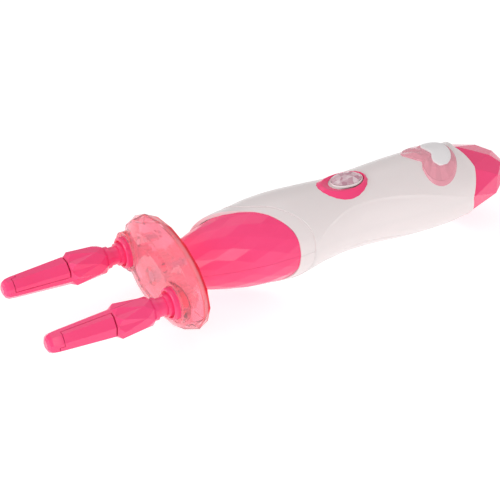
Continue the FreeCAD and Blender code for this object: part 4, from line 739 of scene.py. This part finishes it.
def metal(name, dark, light, gloss=(0.22, 0.36), brushed=(0.0, 0.0, 1.0), grain=900.0):
    """Turned or drawn metal: fine lines along one direction, and a little tarnish."""
    material = bpy.data.materials.new(name)
    material.use_nodes = True
    tree = material.node_tree
    shader = tree.nodes["Principled BSDF"]
    where = tree.nodes.new("ShaderNodeTexCoord")
    drawn = tree.nodes.new("ShaderNodeMapping")
    drawn.inputs["Scale"].default_value = tuple(0.04 + 0.96 * b for b in brushed)
    lines, tarnish = tree.nodes.new("ShaderNodeTexNoise"), tree.nodes.new("ShaderNodeTexNoise")
    lines.inputs["Scale"].default_value = grain * 3
    lines.inputs["Detail"].default_value = 3.0
    tarnish.inputs["Scale"].default_value = grain / 6
    tree.links.new(where.outputs["Object"], drawn.inputs["Vector"])
    tree.links.new(drawn.outputs["Vector"], lines.inputs["Vector"])
    tree.links.new(where.outputs["Object"], tarnish.inputs["Vector"])
    tree.links.new(ramp(tree, tarnish.outputs["Fac"], dark, light), shader.inputs["Base Color"])
    tree.links.new(ramp(tree, lines.outputs["Fac"], (gloss[0],), (gloss[1],)), shader.inputs["Roughness"])
    bump = tree.nodes.new("ShaderNodeBump")
    bump.inputs["Strength"].default_value = 0.12
    bump.inputs["Distance"].default_value = 0.00004
    tree.links.new(lines.outputs["Fac"], bump.inputs["Height"])
    tree.links.new(bump.outputs["Normal"], shader.inputs["Normal"])
    shader.inputs["Metallic"].default_value = 1.0
    return material


ground_steel = metal("ground_steel", (0.50, 0.50, 0.51), (0.62, 0.62, 0.63), brushed=(0.0, 1.0, 1.0))
zinc_screws = metal("zinc_screws", (0.56, 0.57, 0.58), (0.68, 0.69, 0.71), gloss=(0.26, 0.40), brushed=(1.0, 1.0, 1.0))
dress(ground_steel, "drive_shaft")
dress(zinc_screws, "head_screws", "shell_screws", "door_screw")

# --------------------------------------------------------------------------------------
# Gears inside the head
# Clear pink moulded gears: a sun that stands still on its sleeve, two idlers and a planet on
# each spindle. The shaft runs through the sleeve in a brass bush.
# --------------------------------------------------------------------------------------
gear_pink = clear_plastic("clear_pink_gears", (0.96, 0.40, 0.46), (1.0, 0.46, 0.52), 0.60, (1.0, 0.40, 0.46), 60.0,
                          gloss=(0.08, 0.12), index=1.15)
dress(gear_pink, "sun_gear", "idler_gear_left", "idler_gear_right", "planet_gear_left", "planet_gear_right")
turned_brass = metal("turned_brass", (0.58, 0.40, 0.14), (0.70, 0.50, 0.20), brushed=(1.0, 0.2, 0.2))
dress(turned_brass, "shaft_bush", "motor_pinion")

# --------------------------------------------------------------------------------------
# Spindles and clip levers
# Hot pink fingers on fluted barrels. A lever makes the other half of each finger; it hinges on
# a steel pin through the barrel and is held shut by a spring.
# --------------------------------------------------------------------------------------
LEVER_ROOT, ROOT_LONGER = -0.2403, 0.0002
for side in ("left", "right"):
    eased_copy("spindle_" + side, "spindle_core_" + side, hot_pink, "spindle_" + side, "pink_shell", 0.14, sharp=14)
    jaw = eased_copy("clip_lever_" + side, "clip_jaw_" + side, hot_pink, "clip_" + side, "pink_shell", 0.12, sharp=14)
    for v in jaw.data.vertices:
        if abs(v.co.x - LEVER_ROOT) < 0.00003:
            v.co.x += ROOT_LONGER
    dress(ground_steel, "clip_pin_" + side, "clip_spring_" + side)

# --------------------------------------------------------------------------------------
# Gearbox and motor
# White acetal gears between two moulded plates, on steel journals, driven by a brass pinion on
# the shaft of a small can motor.
# --------------------------------------------------------------------------------------
white_acetal = plastic("white_acetal", (0.70, 0.69, 0.65), (0.76, 0.75, 0.71), gloss=(0.34, 0.44), coat=0.0, soft=0.1)
can_steel = metal("can_steel", (0.46, 0.46, 0.46), (0.60, 0.60, 0.60), gloss=(0.18, 0.30), brushed=(1.0, 0.1, 0.1))
dress(white_acetal, "output_gear", "compound_gear_front", "compound_gear_rear", "gearbox_front_plate",
      "gearbox_rear_plate")
dress(ground_steel, "gear_axle", "motor_shaft")
dress(can_steel, "motor")

# --------------------------------------------------------------------------------------
# Battery tray, cells and contacts
# A black tray, moulded in one piece, holds two sleeved cells head to tail between sprung and
# flat steel contacts. The battery door shuts it in.
# --------------------------------------------------------------------------------------
black_plastic = plastic("black_plastic", (0.012, 0.012, 0.014), (0.020, 0.020, 0.022), gloss=(0.36, 0.48), coat=0.0)
cell_sleeve = plastic("cell_sleeve", (0.020, 0.024, 0.030), (0.030, 0.034, 0.042), gloss=(0.16, 0.24), coat=0.4)
dress(black_plastic, "battery_tray", "tact_switch")
dress(cell_sleeve, "aa_cell_left", "aa_cell_right")
dress(can_steel, "contact_plates", "contact_springs", "button_spring")

# --------------------------------------------------------------------------------------
# Circuit board
# A small green lacquered board under the button, pinned to four posts in the upper shell. It
# carries the push switch.
# --------------------------------------------------------------------------------------
board_lacquer = plastic("board_lacquer", (0.010, 0.080, 0.028), (0.016, 0.110, 0.040), gloss=(0.20, 0.34), coat=0.3,
                        mottle=420.0)
dress(board_lacquer, "circuit_board")

# --------------------------------------------------------------------------------------
# Table top, lamps and camera
# A sheet of white paper under the part, three large soft lamps, and a long lens that looks down
# on the near side from in front.
# --------------------------------------------------------------------------------------
low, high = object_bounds()
bm = bmesh.new()
bmesh.ops.create_grid(bm, x_segments=1, y_segments=1, size=6)
bmesh.ops.translate(bm, verts=bm.verts, vec=(0, 0, low.z - 0.0002))
floor = tool_from(bm, "table_top")
paper = bpy.data.materials.new("white_paper")
paper.use_nodes = True
tree = paper.node_tree
fibre = tree.nodes.new("ShaderNodeTexNoise")
fibre.inputs["Scale"].default_value = 30.0
tree.links.new(ramp(tree, fibre.outputs["Fac"], (0.50, 0.50, 0.50), (0.51, 0.51, 0.51)),
               tree.nodes["Principled BSDF"].inputs["Base Color"])
tree.nodes["Principled BSDF"].inputs["Emission Color"].default_value = (1, 1, 1, 1)
tree.nodes["Principled BSDF"].inputs["Emission Strength"].default_value = 0.70
tree.nodes["Principled BSDF"].inputs["Roughness"].default_value = 0.9
tree.nodes["Principled BSDF"].inputs["Specular IOR Level"].default_value = 0.1
floor.data.materials.append(paper)

world = bpy.data.worlds.new("studio")
scene.world = world
world.use_nodes = True
world.node_tree.nodes["Background"].inputs["Color"].default_value = (1, 1, 1, 1)
world.node_tree.nodes["Background"].inputs["Strength"].default_value = 0.55


def lamp(name, where, aim, size, power):
    light = bpy.data.lights.new(name, "AREA")
    light.shape = "RECTANGLE"
    light.size, light.size_y = size
    light.energy = power
    thing = bpy.data.objects.new(name, light)
    scene.collection.objects.link(thing)
    thing.location = where
    thing.rotation_mode = "QUATERNION"
    thing.rotation_quaternion = (Vector(aim) - Vector(where)).to_track_quat("-Z", "Y")
    return thing


lamp("front_box", (-0.55, -1.1, 0.55), (-0.12, 0, 0), (0.9, 0.7), 4.5)
lamp("left_box", (-1.3, 0.1, 0.5), (-0.15, 0, 0), (0.7, 0.7), 5)
lamp("top_box", (0.1, 0.6, 1.3), (-0.1, 0, 0), (1.0, 1.0), 2)

eye = bpy.data.cameras.new("camera")
AZIMUTH, ELEVATION, ROLL, LENS = -29.90, 33.72, -0.20, 122.4
eye.lens = LENS
eye.sensor_width = 36.0
camera = bpy.data.objects.new("camera", eye)
scene.collection.objects.link(camera)
azimuth, elevation, roll = math.radians(AZIMUTH), math.radians(ELEVATION), math.radians(ROLL)
back = Vector((math.sin(azimuth) * math.cos(elevation), -math.cos(azimuth) * math.cos(elevation), math.sin(elevation)))
camera.rotation_mode = "QUATERNION"
camera.rotation_quaternion = (-back).to_track_quat("-Z", "Y") @ Matrix.Rotation(roll, 3, "Z").to_quaternion()
camera.location = place(-306.8, -608.4, 465.0)
eye.clip_start, eye.clip_end = 0.02, 20.0
scene.camera = camera
scene.view_settings.view_transform = "Standard"
